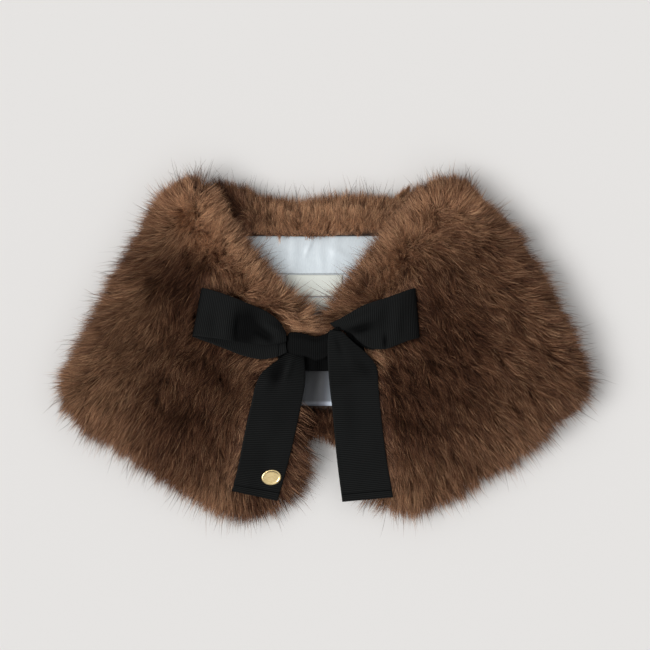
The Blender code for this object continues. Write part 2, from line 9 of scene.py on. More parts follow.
import bpy
import numpy as np
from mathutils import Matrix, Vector
from mathutils.bvhtree import BVHTree
from mathutils.kdtree import KDTree


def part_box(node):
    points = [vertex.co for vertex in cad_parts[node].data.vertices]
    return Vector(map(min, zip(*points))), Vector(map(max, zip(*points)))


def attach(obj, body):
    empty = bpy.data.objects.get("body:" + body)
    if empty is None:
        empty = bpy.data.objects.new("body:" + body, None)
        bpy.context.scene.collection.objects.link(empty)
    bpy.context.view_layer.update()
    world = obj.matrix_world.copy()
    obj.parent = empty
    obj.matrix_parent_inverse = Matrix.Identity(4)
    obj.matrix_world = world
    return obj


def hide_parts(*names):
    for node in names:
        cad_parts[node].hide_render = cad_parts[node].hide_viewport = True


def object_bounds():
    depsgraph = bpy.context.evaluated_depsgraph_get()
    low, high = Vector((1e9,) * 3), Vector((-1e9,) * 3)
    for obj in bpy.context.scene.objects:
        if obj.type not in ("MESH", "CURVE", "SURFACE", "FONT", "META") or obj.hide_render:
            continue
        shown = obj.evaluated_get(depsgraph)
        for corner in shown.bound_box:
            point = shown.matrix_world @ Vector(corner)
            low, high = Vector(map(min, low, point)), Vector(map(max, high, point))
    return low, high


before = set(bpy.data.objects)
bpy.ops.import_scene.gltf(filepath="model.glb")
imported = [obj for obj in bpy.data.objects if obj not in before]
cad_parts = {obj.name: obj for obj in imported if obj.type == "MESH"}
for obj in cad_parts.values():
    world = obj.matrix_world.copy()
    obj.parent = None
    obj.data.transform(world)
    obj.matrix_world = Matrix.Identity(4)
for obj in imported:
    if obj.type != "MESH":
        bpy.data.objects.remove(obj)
CAD_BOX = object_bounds()

MM = 0.001
BODY = "root"
UP = np.array([0.0, 0.0, 1.0])
PLAN = np.array([-1.0, 2.35])  # the origin of the panels' and the ribbons' plan, in the frame
PROUD = np.array([23.0, 18.0, 9.0])  # nothing reaches further outside the CAD model than this

# Panels: the edges of each, in the plan. neck and hem run from the front opening to the side,
# front and side run from the neck to the hem.
Panel = namedtuple("Panel", "neck hem front side")
LEFT = Panel(
    neck=((-5, 24), (-27, 46), (-47, 67), (-67, 89), (-84, 112), (-97, 135), (-109, 155), (-123, 171)),
    hem=((-24, -140), (-32, -155), (-48, -167), (-68, -174), (-92, -176), (-124, -162), (-161, -139),
         (-216, -101), (-245, -80), (-261, -68), (-270, -54)),
    front=((-5, 24), (-4.5, 14), (-12, -3), (-22, -32), (-20, -68), (-15, -98), (-17, -120), (-24, -140)),
    side=((-123, 171), (-140, 170), (-161, 157), (-188, 118), (-216, 71), (-242, 22), (-261, -17),
          (-268, -38), (-270, -54)),
)
RIGHT = Panel(
    neck=((-4, 24), (9, 46), (24, 70), (41, 93), (57, 115), (76, 138), (93, 157), (117, 171)),
    hem=((38, -149), (47, -162), (64, -169), (88, -172), (117, -163), (152, -143), (191, -118),
         (226, -91), (246, -73), (262, -57), (272, -42)),
    front=((-4, 24), (-3.5, 14), (6, -3), (14, -32), (19, -70), (28, -110), (38, -149)),
    side=((117, 171), (142, 170), (163, 157), (183, 132), (210, 93), (238, 42), (259, -2), (267, -21),
          (272, -42)),
)
BACK = Panel(
    neck=((-128, 155), (-112, 163), (-90, 160), (-62, 149), (-25, 145), (20, 150), (62, 152), (92, 161),
          (114, 163), (130, 153)),
    hem=((-240, -50), (-180, -74), (-100, -90), (0, -97), (100, -89), (180, -72), (242, -44)),
    front=((-128, 155), (-150, 132), (-172, 88), (-204, 30), (-240, -50)),
    side=((130, 153), (154, 130), (178, 88), (208, 36), (242, -44)),
)
FACING = Panel(
    neck=((-107, 154), (-88, 157), (-62, 147), (-25, 143), (20, 148), (62, 150), (91, 157)),
    hem=((-82.5, 112), (-50, 111), (-22, 110), (10, 111), (55, 113.5)),
    front=((-107, 154), (-94.5, 133), (-82.5, 112)),
    side=((91, 157), (72.5, 135), (55, 113.5)),
)

# Combs, which way the fur lies: x, y, and its direction in degrees, 0 to the right and 90 to the
# back of the neck.
COMBS_LEFT = (
    (-145, 165, 118), (-124, 176, 92), (-171, 144, 165), (-190, 120, 188), (-211, 85, 200), (-230, 50, 200),
    (-253, -5, 205), (-263, -40, 202), (-242, -75, 242), (-206, -99, 246), (-176, -118, 256),
    (-136, -139, 260), (-88, -163, 268), (-51, -156, 298), (-27, -116, 318), (-20, -85, 300),
    (-136, 120, 226), (-183, 73, 216), (-195, 38, 212), (-159, 26, 248), (-206, -33, 226), (-147, -33, 246),
    (-112, -45, 252), (-159, -92, 246), (-100, -104, 260), (-77, -45, 252), (-72, -16, 205), (-95, 60, 262),
    (-60, -120, 270), (-120, 0, 236), (-110, 40, 250),
)
COMBS_RIGHT = (
    (93, 160, 118), (118, 166, 100), (140, 164, 75), (163, 150, 30), (193, 107, -12), (223, 47, -20),
    (248, -3, -20), (265, -38, -24), (243, -63, -50), (213, -88, -55), (173, -128, -60), (123, -153, -70),
    (83, -165, -88), (43, -158, -122), (153, 97, -25), (113, 47, -52), (173, 17, -35), (213, -23, -35),
    (73, -23, -62), (113, -53, -60), (173, -73, -50), (73, -103, -74), (113, -123, -66), (58, -53, -75),
    (63, -3, -42), (90, 70, -62), (120, 120, -20), (34, -120, -95),
)
COMBS_UP = ((-110, 150, 112), (-90, 135, 100), (-40, 130, 90), (20, 130, 88), (70, 140, 80))
COMBS_DOWN = ((-30, -70, 262), (-5, -70, 272), (15, -70, 285))
COMB_REACH = 14.0
# Along the rolled necks the fur turns over into the opening: from ROLL_IN all the way, to ROLL_OUT
# not at all. It leans up along the edge, and down at the point of the neck, below ROLL_POINT.
ROLL_IN, ROLL_OUT = 14.0, 56.0
ROLL_ACROSS, ROLL_UP, ROLL_POINT_DOWN = 0.9, 0.34, 0.75
ROLL_POINT = (34.0, 62.0)
# Between the two the fur parts: how far from the neck, how widely, how far hairs stray over, how
# much denser they stand there, and how light they are down to their roots.
PARTING, PARTING_WIDE, PARTING_STRAY, PARTING_MORE, PARTING_LIGHT = 35.0, 20.0, 10.0, 1.0, 0.8
GUIDE_SWING = 9.0  # how far each guide hair turns out of the flow, in degrees
# The pile is shorter where it turns over, and along the outer edges of the fronts.
ROLL_SHORT, EDGE_SHORT, EDGE_WIDE = 0.30, 0.20, 30.0

# Where the fur is lighter (to 1) or darker (to -1) than the rest, mostly in its own colour, with some rows
# painted shade as marked: x, y, reach and amount.
TONES = (
    (-140, 145, 28, 0.85), (-160, 158, 12, -0.4), (-137, 133, 16, 0.2), (-102, 112, 22, 1.0),
    (-77, 67, 20, 0.8), (-42, 32, 18, 0.9), (-20, 28, 10, 0.6), (-57, 37, 11, -1.1), (-80, 94, 12, 0.6),
    (-57, 75, 12, 0.6), (-36, 57, 9, 0.4), (-180, 107, 20, 0.1), (-198, 98, 9, -0.5), (-157, 102, 18, 0.3),
    (-142, 57, 26, -1.0), (-127, 77, 16, -0.45), (-127, 97, 14, 0.4), (-165, 70, 16, -0.15),
    (-106, -15, 20, -0.65), (-147, -83, 30, -0.6), (-177, -53, 20, -0.2), (-197, -73, 24, 0.35),
    (-235, -33, 26, 0.8), (-203, -36, 12, 0.2), (-187, 47, 22, 0.75), (-207, 7, 22, 0.2),
    (-82, -13, 12, 0.55), (-97, -143, 22, 0.45), (-77, -163, 14, -0.5), (-60, -155, 14, -0.2),
    (-120, -60, 16, -0.3), (-45, -120, 16, -0.25), (-118, -158, 14, 0.45),
    (118, 150, 28, 0.6), (78, 112, 22, 1.05), (88, 90, 18, -0.45), (58, 77, 18, 0.75), (20, 36, 13, 0.5),
    (125, 102, 17, -0.4), (148, 122, 18, 0.15), (154, 145, 14, 0.35), (100, 52, 14, -0.3),
    # Next row: (98, 27) is darker fur and also painted shadow of the right loop.
    (98, 27, 26, -0.65), (153, 27, 18, -0.3), (133, -3, 24, -0.45), (143, -38, 22, -0.4),
    (93, -43, 20, -0.5), (73, -73, 22, -0.5), (103, -83, 20, -0.4), (58, -53, 12, -0.5),
    (68, -123, 16, -0.2), (173, -13, 22, 0.15), (213, 17, 20, 0.1), (78, -150, 20, 0.7),
    (141, -118, 12, -0.2), (140, -143, 14, 0.4), (188, -113, 20, 0.4), (195, -23, 20, -0.2),
    # Next row: (63, -24) and (-14, -98) are painted shadow beside the tails, and (21, 10) is painted shade
    # deep in the gap between the knot and the right loop.
    (50, -12, 8, 1.1), (63, -24, 9, -0.8), (-14, -98, 8, -0.6), (21, 10, 6, -2.0),
)
BRIGHTEST = 1.35
# The two darkest rows, at the facing's left end, are darker fur and painted shade of the left front's roll.
FACING_TONES = ((-5, 132, 60, 1.3), (-107, 148, 12, -1.4), (-93, 126, 11, -1.4), (78, 145, 26, 0.7))
HEM_TONES = ((-20, -72, 12, -0.9), (-2, -70, 10, -0.2), (8, -85, 10, 0.2))

# Ribbons: stations as the CAD model has them, in the plan: the upper edge's x and y, the lower
# edge's x and y, the lift over the bed, and the arch.
BAND = (
    (-48, 10, -48, -21, 0.5, 0), (-30, 9, -30, -24.5, 0.5, 0), (-10, 8, -10, -26, 0.5, 0),
    (12, 8, 12, -25, 0.5, 0), (38, 8, 38, -22, 0.5, 0),
)
TAIL_LEFT = (
    (-33, 1, -22, -7, 0.5, 0.5), (-43, -11, -21.3, -17, 0.6, 2.4), (-55, -20, -20.8, -26, 0.7, 3.2),
    (-65, -29, -20.7, -33, 0.7, 2.4), (-70, -40, -21.5, -42, 0.6, 1.2), (-74.6, -59.4, -25, -60, 0.5, 0.4),
    (-81.3, -89, -31.5, -91, 0.5, 0), (-86.2, -114, -37, -114.5, 0.5, 0),
    (-93.7, -145.6, -48.5, -155.6, 0.5, 0),
)
TAIL_RIGHT = (
    (3.5, 15.5, 16, 13.5, 0.5, 0.3), (1.8, 6, 27, 3, 0.5, 0.6), (1.5, -7, 40, -8, 0.5, 1.2),
    (2, -21, 50, -21, 0.5, 1), (3.5, -40, 52, -40, 0.5, 0.6), (6, -62, 54, -62.5, 0.5, 0),
    (10.5, -111, 59.3, -107, 0.5, 0), (16.3, -156.6, 67, -151.8, 0.5, 0),
)
LOOP_LEFT = (
    (-40, 12.5, -38.8, 4, 9, 0.4), (-47, 24, -49, 1, 10.5, 2), (-59, 33.5, -62.4, 0.3, 12, 2.6),
    (-77, 41.5, -81, 2, 14, 2.2), (-97, 49.5, -102.2, 5.8, 14, 1.4), (-113, 54.6, -121, 8.2, 10.4, 0.8),
    (-121, 56.6, -129.8, 9.2, 7, 0.4), (-123.2, 57, -132.6, 8.8, 4.2, 0.2),
    (-121, 55.5, -130, 7.4, 1.6, 0.2), (-108, 50, -118, 3, 0.7, 0.2), (-92, 42, -100, -3.8, 0.7, 0.2),
    (-74, 32, -81, -11, 0.7, 0.3), (-58, 20, -62, -14, 1, 0.5), (-46.5, 9, -48.5, -11.5, 2.2, 0.8),
    (-40, 3, -38.8, -7, 3.2, 0.4),
)
LOOP_RIGHT = (
    (3.5, 21.8, 8, 17.6, 7.6, 0.1), (10.5, 24.6, 19, 14, 8.6, 0.4), (22, 31, 28.5, 9, 10.5, 2),
    (38, 39.8, 38.5, 0, 12.5, 2.6), (60.5, 47.4, 57, -4.2, 14, 2.2), (75, 52.5, 73, 1.2, 12.5, 1.4),
    (83, 55.4, 84.5, 5.4, 9.8, 0.8), (87.4, 56.4, 90.6, 6.6, 6.8, 0.4), (88.6, 56.6, 92.8, 7.4, 4.1, 0.2),
    (86.6, 55.4, 90.5, 7.6, 1.6, 0.2), (76, 51, 78, 4, 0.7, 0.2), (60, 44.5, 60, -1.5, 0.7, 0.2),
    (44, 36.5, 44, -4.5, 0.8, 0.3), (29, 28, 31, 2, 1.6, 0.6), (15, 18.5, 21.5, 10, 3.2, 0.4),
)
RIBBON = 0.9
RIBBON_GAP = 0.5  # half the CAD ribbon's thickness: its middle over its underside
RIBBON_STEP, RIBBON_COLUMNS = 1.6, 24
# A ribbon's map: x across it to MAP_WIDE, and y from its end, 1 for MAP_UNIT.
MAP_WIDE, MAP_UNIT = 0.5, 100.0

# Folds and dents of a ribbon: the middle of each in the frame, the turn of its length in degrees,
# its length, its width and its height. Those of a loop are in its upper layer.
FOLDS = {
    "tail_left": (
        (-48, -29, 69, 24, 11, -1.5), (-39, -22, 69, 26, 7, 2.4), (-61, -36, 60, 22, 11, 1.4),
        (-56, -75, 95, 50, 18, 0.6), (-62, -110, 80, 40, 16, -0.5), (-80, -135, 70, 26, 14, 0.7),
    ),
    "tail_right": (
        (12, 2, 108, 22, 6, -1.0), (24, -14, 104, 30, 9, 0.9), (38, -22, 125, 26, 9, -0.9),
        (24, -62, 95, 60, 16, -0.7), (44, -96, 86, 50, 14, 0.6), (28, -130, 100, 36, 14, 0.5),
    ),
    "loop_left": (
        (-101, 24, 86, 50, 12, 2.6), (-79, 20, 84, 50, 24, -4.0), (-89, 19, 86, 36, 8, -2.4),
        (-61, 12, -39, 30, 9, -3.2), (-52, 19, -30, 26, 8, 1.8), (-114, 26, 84, 40, 10, -0.6),
        (-48, 7, 6, 16, 5, 0.9),
    ),
    "loop_right": (
        (58, 6, 90, 16, 4, -3.0), (34, 19, 16, 34, 8, -3.6), (36, 30, 26, 34, 8, 1.6),
        (32, 9, -8, 26, 7, 1.4), (56, 30, 80, 34, 12, -1.0), (70, 26, 84, 40, 11, 1.2),
    ),
    "ribbon_band": (),
}
FOLD_ENDS = 1.5  # how much more steeply a fold ends than its sides fall
# Painted shadow where a ribbon lies in another's shade: folds that only darken its colour.
SHADOWS = {"tail_left": ((-51, -23, 50, 44, 17, -3.0),)}
UPPER_LAYER = (0.42, 0.5)  # the shares of a loop's length over which its upper layer ends
DEEPEST_FOLD = 2.8  # the fold depth at which a ribbon's painted shade is full
# Painted shade: the band is darkened at least this much all over, and the knot this much all over.
BAND_SHADE, KNOT_SHADE = 0.95, 0.65

# The knot's rings: the middle of each in the plan, its half width, its bottom and its top.
KNOT = (
    (-38.4, 2.5, 7.0, 2.2, 7.4), (-36.2, 2.0, 10.2, 0.6, 9.6), (-30.0, 1.2, 11.6, 0.0, 11.2),
    (-20.0, -0.4, 11.2, 0.0, 12.2), (-10.0, -3.6, 11.8, 0.0, 12.2), (-1.0, -1.4, 11.8, 0.0, 11.4),
    (6.0, 4.0, 11.4, 0.0, 10.4), (11.5, 8.2, 10.0, 0.6, 8.8), (14.0, 10.4, 7.6, 2.0, 7.2),
)
KNOT_SIDES, KNOT_STEPS, KNOT_SQUARE = 56, 60, 0.6
PLEATS, PLEAT_TWIST, PLEAT_HIGH = 5, 2.0, 0.5

# Grids of heights: where the first cell is, how many cells there are along x and y, and their size.
Cells = namedtuple("Cells", "x y columns rows size")
CEILING = Cells(-150.0, -172.0, 210, 204, 1.25)  # over the fur, in the frame
BED = Cells(-150.0, -175.0, 108, 104, 2.5)  # under the ribbons, in the plan, as in the CAD model
# The bed is widened and smoothed this many times, and falls away from what is high by this much.
BED_WIDER, BED_SMOOTHER = 2, 2
FALL_ALONG, FALL_ACROSS = 0.5, 0.12
ABOVE, BELOW = 300.0, -50.0  # rays that look for a height start here


# Vectors, curves and meshes


def unit(vectors):
    return vectors / np.maximum(np.linalg.norm(vectors, axis=-1, keepdims=True), 1e-9)


def between(x, low, high):
    """A smooth rise from 0 at low to 1 at high."""
    x = np.clip((x - low) / (high - low), 0.0, 1.0)
    return x * x * (3 - 2 * x)


def lengths(points):
    """How far along a run of points each of them is."""
    steps = np.linalg.norm(np.diff(np.asarray(points, float), axis=0), axis=1)
    return np.concatenate([[0.0], np.cumsum(steps)])


def through(points, shares):
    """A smooth curve through the points, read at shares of its length."""
    points = np.asarray(points, float)
    along = lengths(points)
    slope = np.gradient(points, along, axis=0)
    at = np.clip(shares, 0.0, 1.0) * along[-1]
    i = np.clip(np.searchsorted(along, at, side="right") - 1, 0, len(along) - 2)
    span = along[i + 1] - along[i]
    t = ((at - along[i]) / span)[:, None]
    span = span[:, None]
    rise = t * t * (3 - 2 * t)
    return (
        points[i] * (1 - rise)
        + points[i + 1] * rise
        + slope[i] * span * t * (1 - t) ** 2
        - slope[i + 1] * span * t * t * (1 - t)
    )


def at_index(points, index):
    """A smooth curve through the points, read at fractional numbers of its points."""
    along = lengths(points)
    return through(points, np.interp(index, np.arange(len(along)), along / along[-1]))


def read_all(things, field, width=1, kind=np.int32):
    """One field of all the vertices, corners or triangles of a mesh."""
    found = np.zeros(len(things) * width, kind)
    things.foreach_get(field, found)
    return found.reshape(-1, width)


def mesh_parts(mesh):
    """The points of a mesh, in metres, and its triangles."""
    mesh.calc_loop_triangles()
    return read_all(mesh.vertices, "co", 3, np.float32), read_all(mesh.loop_triangles, "vertices", 3)


def make_mesh(name, points, corners, sides, uv=None, uv_name="OFBake", normals=None):
    """A mesh from points in millimetres, the faces' corners one after another, and how many each has."""
    mesh = bpy.data.meshes.new(name)
    mesh.vertices.add(len(points))
    mesh.vertices.foreach_set("co", np.asarray(points * MM, np.float32).ravel())
    corners = np.asarray(corners, np.int32)
    mesh.loops.add(len(corners))
    mesh.loops.foreach_set("vertex_index", corners)
    mesh.polygons.add(len(sides))
    starts = np.concatenate([[0], np.cumsum(sides)[:-1]])
    mesh.polygons.foreach_set("loop_start", starts.astype(np.int32))
    mesh.update(calc_edges=True)
    if uv is not None:
        layer = mesh.uv_layers.new(name=uv_name)
        layer.uv.foreach_set("vector", np.asarray(uv[corners], np.float32).ravel())
    mesh.shade_smooth()
    if normals is not None:
        mesh.normals_split_custom_set_from_vertices(normals.astype(np.float32))
    return mesh


def add_map(mesh, name, amounts):
    """A map from which each vertex reads an amount."""
    corners = read_all(mesh.loops, "vertex_index")[:, 0]
    values = np.column_stack([amounts, 0 * amounts])[corners]
    mesh.uv_layers.new(name=name).uv.foreach_set("vector", values.astype(np.float32).ravel())


def add_piece(name, mesh, material, node=None):
    mesh.materials.append(material)
    made = bpy.data.objects.new(name, mesh)
    bpy.context.scene.collection.objects.link(made)
    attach(made, BODY)
    if node:
        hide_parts(node)
    return made


def grid_quads(index):
    """The corners of the quads between neighbouring points of a grid of point numbers."""
    return np.stack([index[:-1, :-1], index[:-1, 1:], index[1:, 1:], index[1:, :-1]], axis=-1).reshape(-1)


def shell_mesh(name, middle, thick, uv=None):
    """A closed sheet of even thickness about a grid of points in space."""
    rows, columns = middle.shape[:2]
    normal = unit(np.cross(np.gradient(middle, axis=1), np.gradient(middle, axis=0)))
    upper, lower = middle + normal * thick / 2, middle - normal * thick / 2
    index = np.arange(rows * columns).reshape(rows, columns)
    corners = [grid_quads(index), grid_quads((index + index.size)[::-1])]
    for edge in (index[0, :], index[:, -1], index[-1, ::-1], index[::-1, 0]):
        a, b = edge[:-1], edge[1:]
        corners.append(np.stack([b, a, a + index.size, b + index.size], axis=-1).reshape(-1))
    faces = np.concatenate(corners).reshape(-1, 4)
    points = np.concatenate([upper.reshape(-1, 3), lower.reshape(-1, 3)])
    if uv is not None:
        uv = np.concatenate([uv.reshape(-1, 2), uv.reshape(-1, 2)])
    # Corners run the way that makes normals point out of the sheet.
    some = faces[: index.size // 2]
    a, b, c = (points[some[:, k]] for k in range(3))
    if (np.cross(b - a, c - b) * normal.reshape(-1, 3)[some[:, 0]]).sum() < 0:
        faces = faces[:, ::-1]
    return make_mesh(name, points, faces.reshape(-1), np.full(len(faces), 4), uv, "weave")


def capped_mesh(name, points, around, turned_over, uv=None):
    """A closed form through rings of points; the last two points are the tips at its ends."""
    grid = np.arange(len(points) - 2).reshape(-1, around)
    closed = np.column_stack([grid, grid[:, :1]])
    corners = [grid_quads(closed[::-1] if turned_over else closed)]
    for end, tip, other_way in ((0, -2, turned_over), (-1, -1, not turned_over)):
        a, b = grid[end], np.roll(grid[end], -1)
        tips = np.full(around, len(points) + tip)
        corners.append(np.stack([a, b, tips] if other_way else [b, a, tips], axis=-1).reshape(-1))
    sides = np.repeat([4, 3], [len(corners[0]) // 4, 2 * around])
    return make_mesh(name, points, np.concatenate(corners), sides, uv, "weave")


# What is already there


def node_parts(node):
    """The points, in millimetres, and the triangles of a CAD node."""
    points, triangles = mesh_parts(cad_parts[node].data)
    return points / MM, triangles


def tree_of(nodes):
    points, triangles, first = [], [], 0
    for node in nodes:
        there, faces = node_parts(node)
        points.append(there)
        triangles.append(faces + first)
        first += len(there)
    return BVHTree.FromPolygons(np.concatenate(points).tolist(), np.concatenate(triangles).tolist())


def height_at(tree, x, y):
    """The highest point of the nodes over a point of the frame."""
    hit = tree.ray_cast(Vector((x, y, ABOVE)), Vector((0, 0, -1)))[0]
    return hit.z if hit else 0.0


def underside_at(tree, x, y, missing):
    """The lowest point of the nodes over a point of the frame."""
    hit = tree.ray_cast(Vector((x, y, BELOW)), Vector((0, 0, 1)))[0]
    return hit.z if hit else missing


def over(cells, read, origin=(0.0, 0.0)):
    """What read says of the frame's x and y at each cell of a grid that is laid from an origin."""
    xs = cells.x + cells.size * np.arange(cells.columns) + origin[0]
    ys = cells.y + cells.size * np.arange(cells.rows) + origin[1]
    return np.array([[read(x, y) for x in xs] for y in ys])


def neighbours(cells, edge):
    """The cells' eight neighbours, each as a whole grid, with a value beyond the edges."""
    wide = np.pad(cells, 1, constant_values=edge)
    rows, columns = cells.shape
    shifts = [(i, j) for i in range(3) for j in range(3) if (i, j) != (1, 1)]
    return [wide[i : i + rows, j : j + columns] for i, j in shifts]


class Pelt:
    """The surface that hairs grow from."""

    def __init__(self, mesh):
        points, self.triangles = mesh_parts(mesh)
        self.points = points.astype(float) / MM
        self.normals = read_all(mesh.vertex_normals, "vector", 3, np.float32).astype(float)
        self.tree = BVHTree.FromPolygons(self.points.tolist(), self.triangles.tolist())
        a, b, c = (self.points[self.triangles[:, k]] for k in range(3))
        self.areas = np.linalg.norm(np.cross(b - a, c - a), axis=1) / 2
        self.middles = (a + b + c) / 3
        self.facing = unit(self.normals[self.triangles].sum(axis=1))

    def outward(self, points):
        """The surface's direction where it is nearest to each point."""
        found = [self.tree.find_nearest(Vector(p))[2] for p in points]
        return self.facing[np.array(found)]

    def scatter(self, rng, count, weigh):
        """Points spread over the surface, and its direction there."""
        chance = self.areas * weigh(self.middles, self.facing)
        pick = rng.choice(len(chance), count, p=chance / chance.sum())
        u, v = rng.random(count), rng.random(count)
        past = u + v > 1
        u[past], v[past] = 1 - u[past], 1 - v[past]
        share = np.stack([1 - u - v, u, v], axis=1)[:, :, None]
        corners = self.triangles[pick]
        return (self.points[corners] * share).sum(axis=1), unit((self.normals[corners] * share).sum(axis=1))


# Fur: which way it lies, how long and how light it is


LINE_POINTS = 60  # of a panel's edge, drawn as a line


def line_of(edge):
    return through(edge, np.linspace(0, 1, LINE_POINTS)) + PLAN


def from_line(points, line):
    """Each point's distance from a line in the plan, and the line's direction where it is nearest."""
    best = np.full(len(points), np.inf)
    way = np.zeros((len(points), 2))
    for start, end in zip(line[:-1], line[1:]):
        step = end - start
        share = np.clip(((points - start) @ step) / (step @ step), 0.0, 1.0)
        away = np.linalg.norm(points - start - share[:, None] * step, axis=1)
        closer = away < best
        best[closer] = away[closer]
        way[closer] = step / np.linalg.norm(step)
    return best, way


def combed(points, combs):
    """The direction of the fur at plan points, as the combs nearest to each say."""
    table = np.array(combs, float)
    apart = ((points[:, None, :] - table[None, :, :2]) ** 2).sum(axis=2)
    share = 1 / (apart + COMB_REACH**2) ** 2
    turns = np.radians(table[:, 2])
    return unit(np.stack([share @ np.cos(turns), share @ np.sin(turns)], axis=1))


# Waves over the plan, as the fur's small swirls and as the pile's hollows and mounds: across how many
# millimetres, which way in degrees, how far in degrees or how high, and where they start.
SWIRLS = (
    (11, 35, 6, 0.9), (14, 120, 6, 3.1), (17, 20, 6, 0.3), (21, 75, 6, 1.9), (27, 130, 6, 4.1),
    (36, 165, 6, 2.6), (47, 50, 7, 5.2), (66, 105, 7, 0.9),
)
MOUNDS = ((23, 15, 0.7, 0.4), (31, 80, 0.9, 2.2), (39, 140, 0.9, 4.6), (58, 40, 0.9, 1.1))


def waves(points, table):
    """For each row of a table, how much its wave counts for and the wave itself, from -1 to 1."""
    for span, way, amount, start in table:
        way = np.radians(way)
        along = points[:, 0] * np.cos(way) + points[:, 1] * np.sin(way)
        yield amount, np.sin(2 * np.pi * along / span + start)


def swirled(ways, points, lean, share=1.0):
    """Plan directions, turned by the fur's swirls and by how far each hair leans out of the flow."""
    turn = np.radians(GUIDE_SWING) * lean
    for swing, wave in waves(points, SWIRLS):
        turn = turn + np.radians(swing) * wave
    turn = turn * share
    x, y = ways[:, 0], ways[:, 1]
    return np.column_stack(
        [x * np.cos(turn) - y * np.sin(turn), x * np.sin(turn) + y * np.cos(turn), np.zeros(len(x))]
    )


def plain_flow(combs, swirl=1.0):
    return lambda points, lean: swirled(combed(points[:, :2], combs), points[:, :2], lean, swirl)


def front_flow(panel, combs, opening_side):
    """The flow of the fur on a front, which rolls over into the opening along the neck."""
    neck = line_of(panel.neck)

    def flow(points, lean):
        plan = points[:, :2]
        away, way = from_line(plan, neck)
        into = np.stack([way[:, 1], -way[:, 0]], axis=1) * opening_side
        rolled = (1 - between(away + PARTING_STRAY * lean, ROLL_IN, ROLL_OUT))[:, None]
        at_edge = between(plan[:, 1:2], *ROLL_POINT)
        along = at_edge * ROLL_UP - (1 - at_edge) * ROLL_POINT_DOWN
        turned_over = unit(ROLL_ACROSS * into + along * way)
        return swirled(rolled * turned_over + (1 - rolled) * combed(plan, combs), plan, lean)

    return flow


def nearness(points, spots):
    """How near each point is to each spot, of which a row starts with x, y and reach, from 0 to 1."""
    table = np.array(spots)
    apart = ((points[:, None, :2] - table[None, :, :2]) ** 2).sum(axis=2)
    return np.exp(-apart / (2 * table[:, 2] ** 2))


def tone_at(points, tones):
    """How light the fur is at plan points, from -1 to BRIGHTEST."""
    return np.clip(nearness(points, tones) @ np.array(tones)[:, 3], -1.0, BRIGHTEST)


# Where a pile's sides are set in by more than elsewhere, or by less, below 0: x, y, reach and share.
SPOTS = ((-5.5, 30, 12, -0.6), (76, 157, 18, 0.4), (-30, 152, 30, 0.2), (-245, -78, 14, -0.45))
# Where the fur is shorter than elsewhere.
TRIMS = ((152, 143, 20, -0.25), (73, 162, 9, -0.6), (60, 148, 16, -0.3), (-8, 42, 12, -0.2))
# Where a pile is drawn in as a whole: x, y, reach, and by how much in x and y.
PULLS = ((166, 156, 18, -8.0, -8.0),)


def spots_at(points, spots):
    """How much more, or less, the spots ask for at points of the plan, against 1 elsewhere."""
    return 1 + nearness(points, spots) @ np.array(spots)[:, 3]


def front_reach(panel, reach):
    """How long the hairs of a front are, at its points."""
    neck = line_of(panel.neck)
    rim = np.concatenate([line_of(panel.hem), line_of(panel.side)[-2::-1]])

    def reach_at(points):
        rolled = 1 - between(from_line(points[:, :2], neck)[0], ROLL_IN, ROLL_OUT)
        rolled *= between(points[:, 1], *ROLL_POINT)
        edge = 1 - between(from_line(points[:, :2], rim)[0], 0.0, EDGE_WIDE)
        return reach * (1 - ROLL_SHORT * rolled) * (1 - EDGE_SHORT * edge) * spots_at(points, TRIMS)

    return reach_at


# Guide hairs

LIFTS = (1.7, 1.3, 0.85, 0.45)  # how much a guide hair rises at each step, against how far it leans
WALL_LIFT = 0.7  # the share of that on upright walls
DROOP = 0.3  # how much hairs on upright walls hang
BEND = 0.6  # how quickly a hair takes a new direction
GUIDE_SHARES = np.linspace(0, 1, len(LIFTS) + 1)
GUIDE_VARY = 0.22  # how much their length varies
# How far a lock's hairs are drawn to its leader: the most, how late along them, and over what range.
LOCK_PULL, LOCK_CURVE, LOCK_RANGE = 0.1, 1.5, (0.7, 0.6)

# How guides grow: which way, how long, where, how far apart, and how many are in a lock.
Growth = namedtuple("Growth", "flow reach weigh spacing lock_size")


def grow(pelt, roots, normals, flow, reach, lean):
    """Guide hairs: points along each, from its root."""
    points = [roots]
    outward, heading = normals, None
    for lift in LIFTS:
        way = flow(points[-1], lean)
        inward = np.minimum(0.0, (way * outward).sum(axis=1))[:, None]
        level = np.clip(outward[:, 2:3], 0.0, 1.0)
        rise = outward * lift * (WALL_LIFT + (1 - WALL_LIFT) * level)
        wanted = unit(way - inward * outward + rise - UP * DROOP * (1 - level))
        heading = wanted if heading is None else unit(heading * (1 - BEND) + wanted * BEND)
        points.append(points[-1] + heading * (reach / len(LIFTS))[:, None])
        outward = pelt.outward(points[-1])
    return np.stack(points, axis=1)


def nearest_of(points, others, count):
    """The numbers and distances of the others that are nearest to each point."""
    tree = KDTree(len(others))
    for i, other in enumerate(others):
        tree.insert(Vector(other), i)
    tree.balance()
    found = [tree.find_n(Vector(p), count) for p in points]
    index = np.array([[hit[1] for hit in hits] for hits in found])
    away = np.array([[hit[2] for hit in hits] for hits in found])
    return index, away


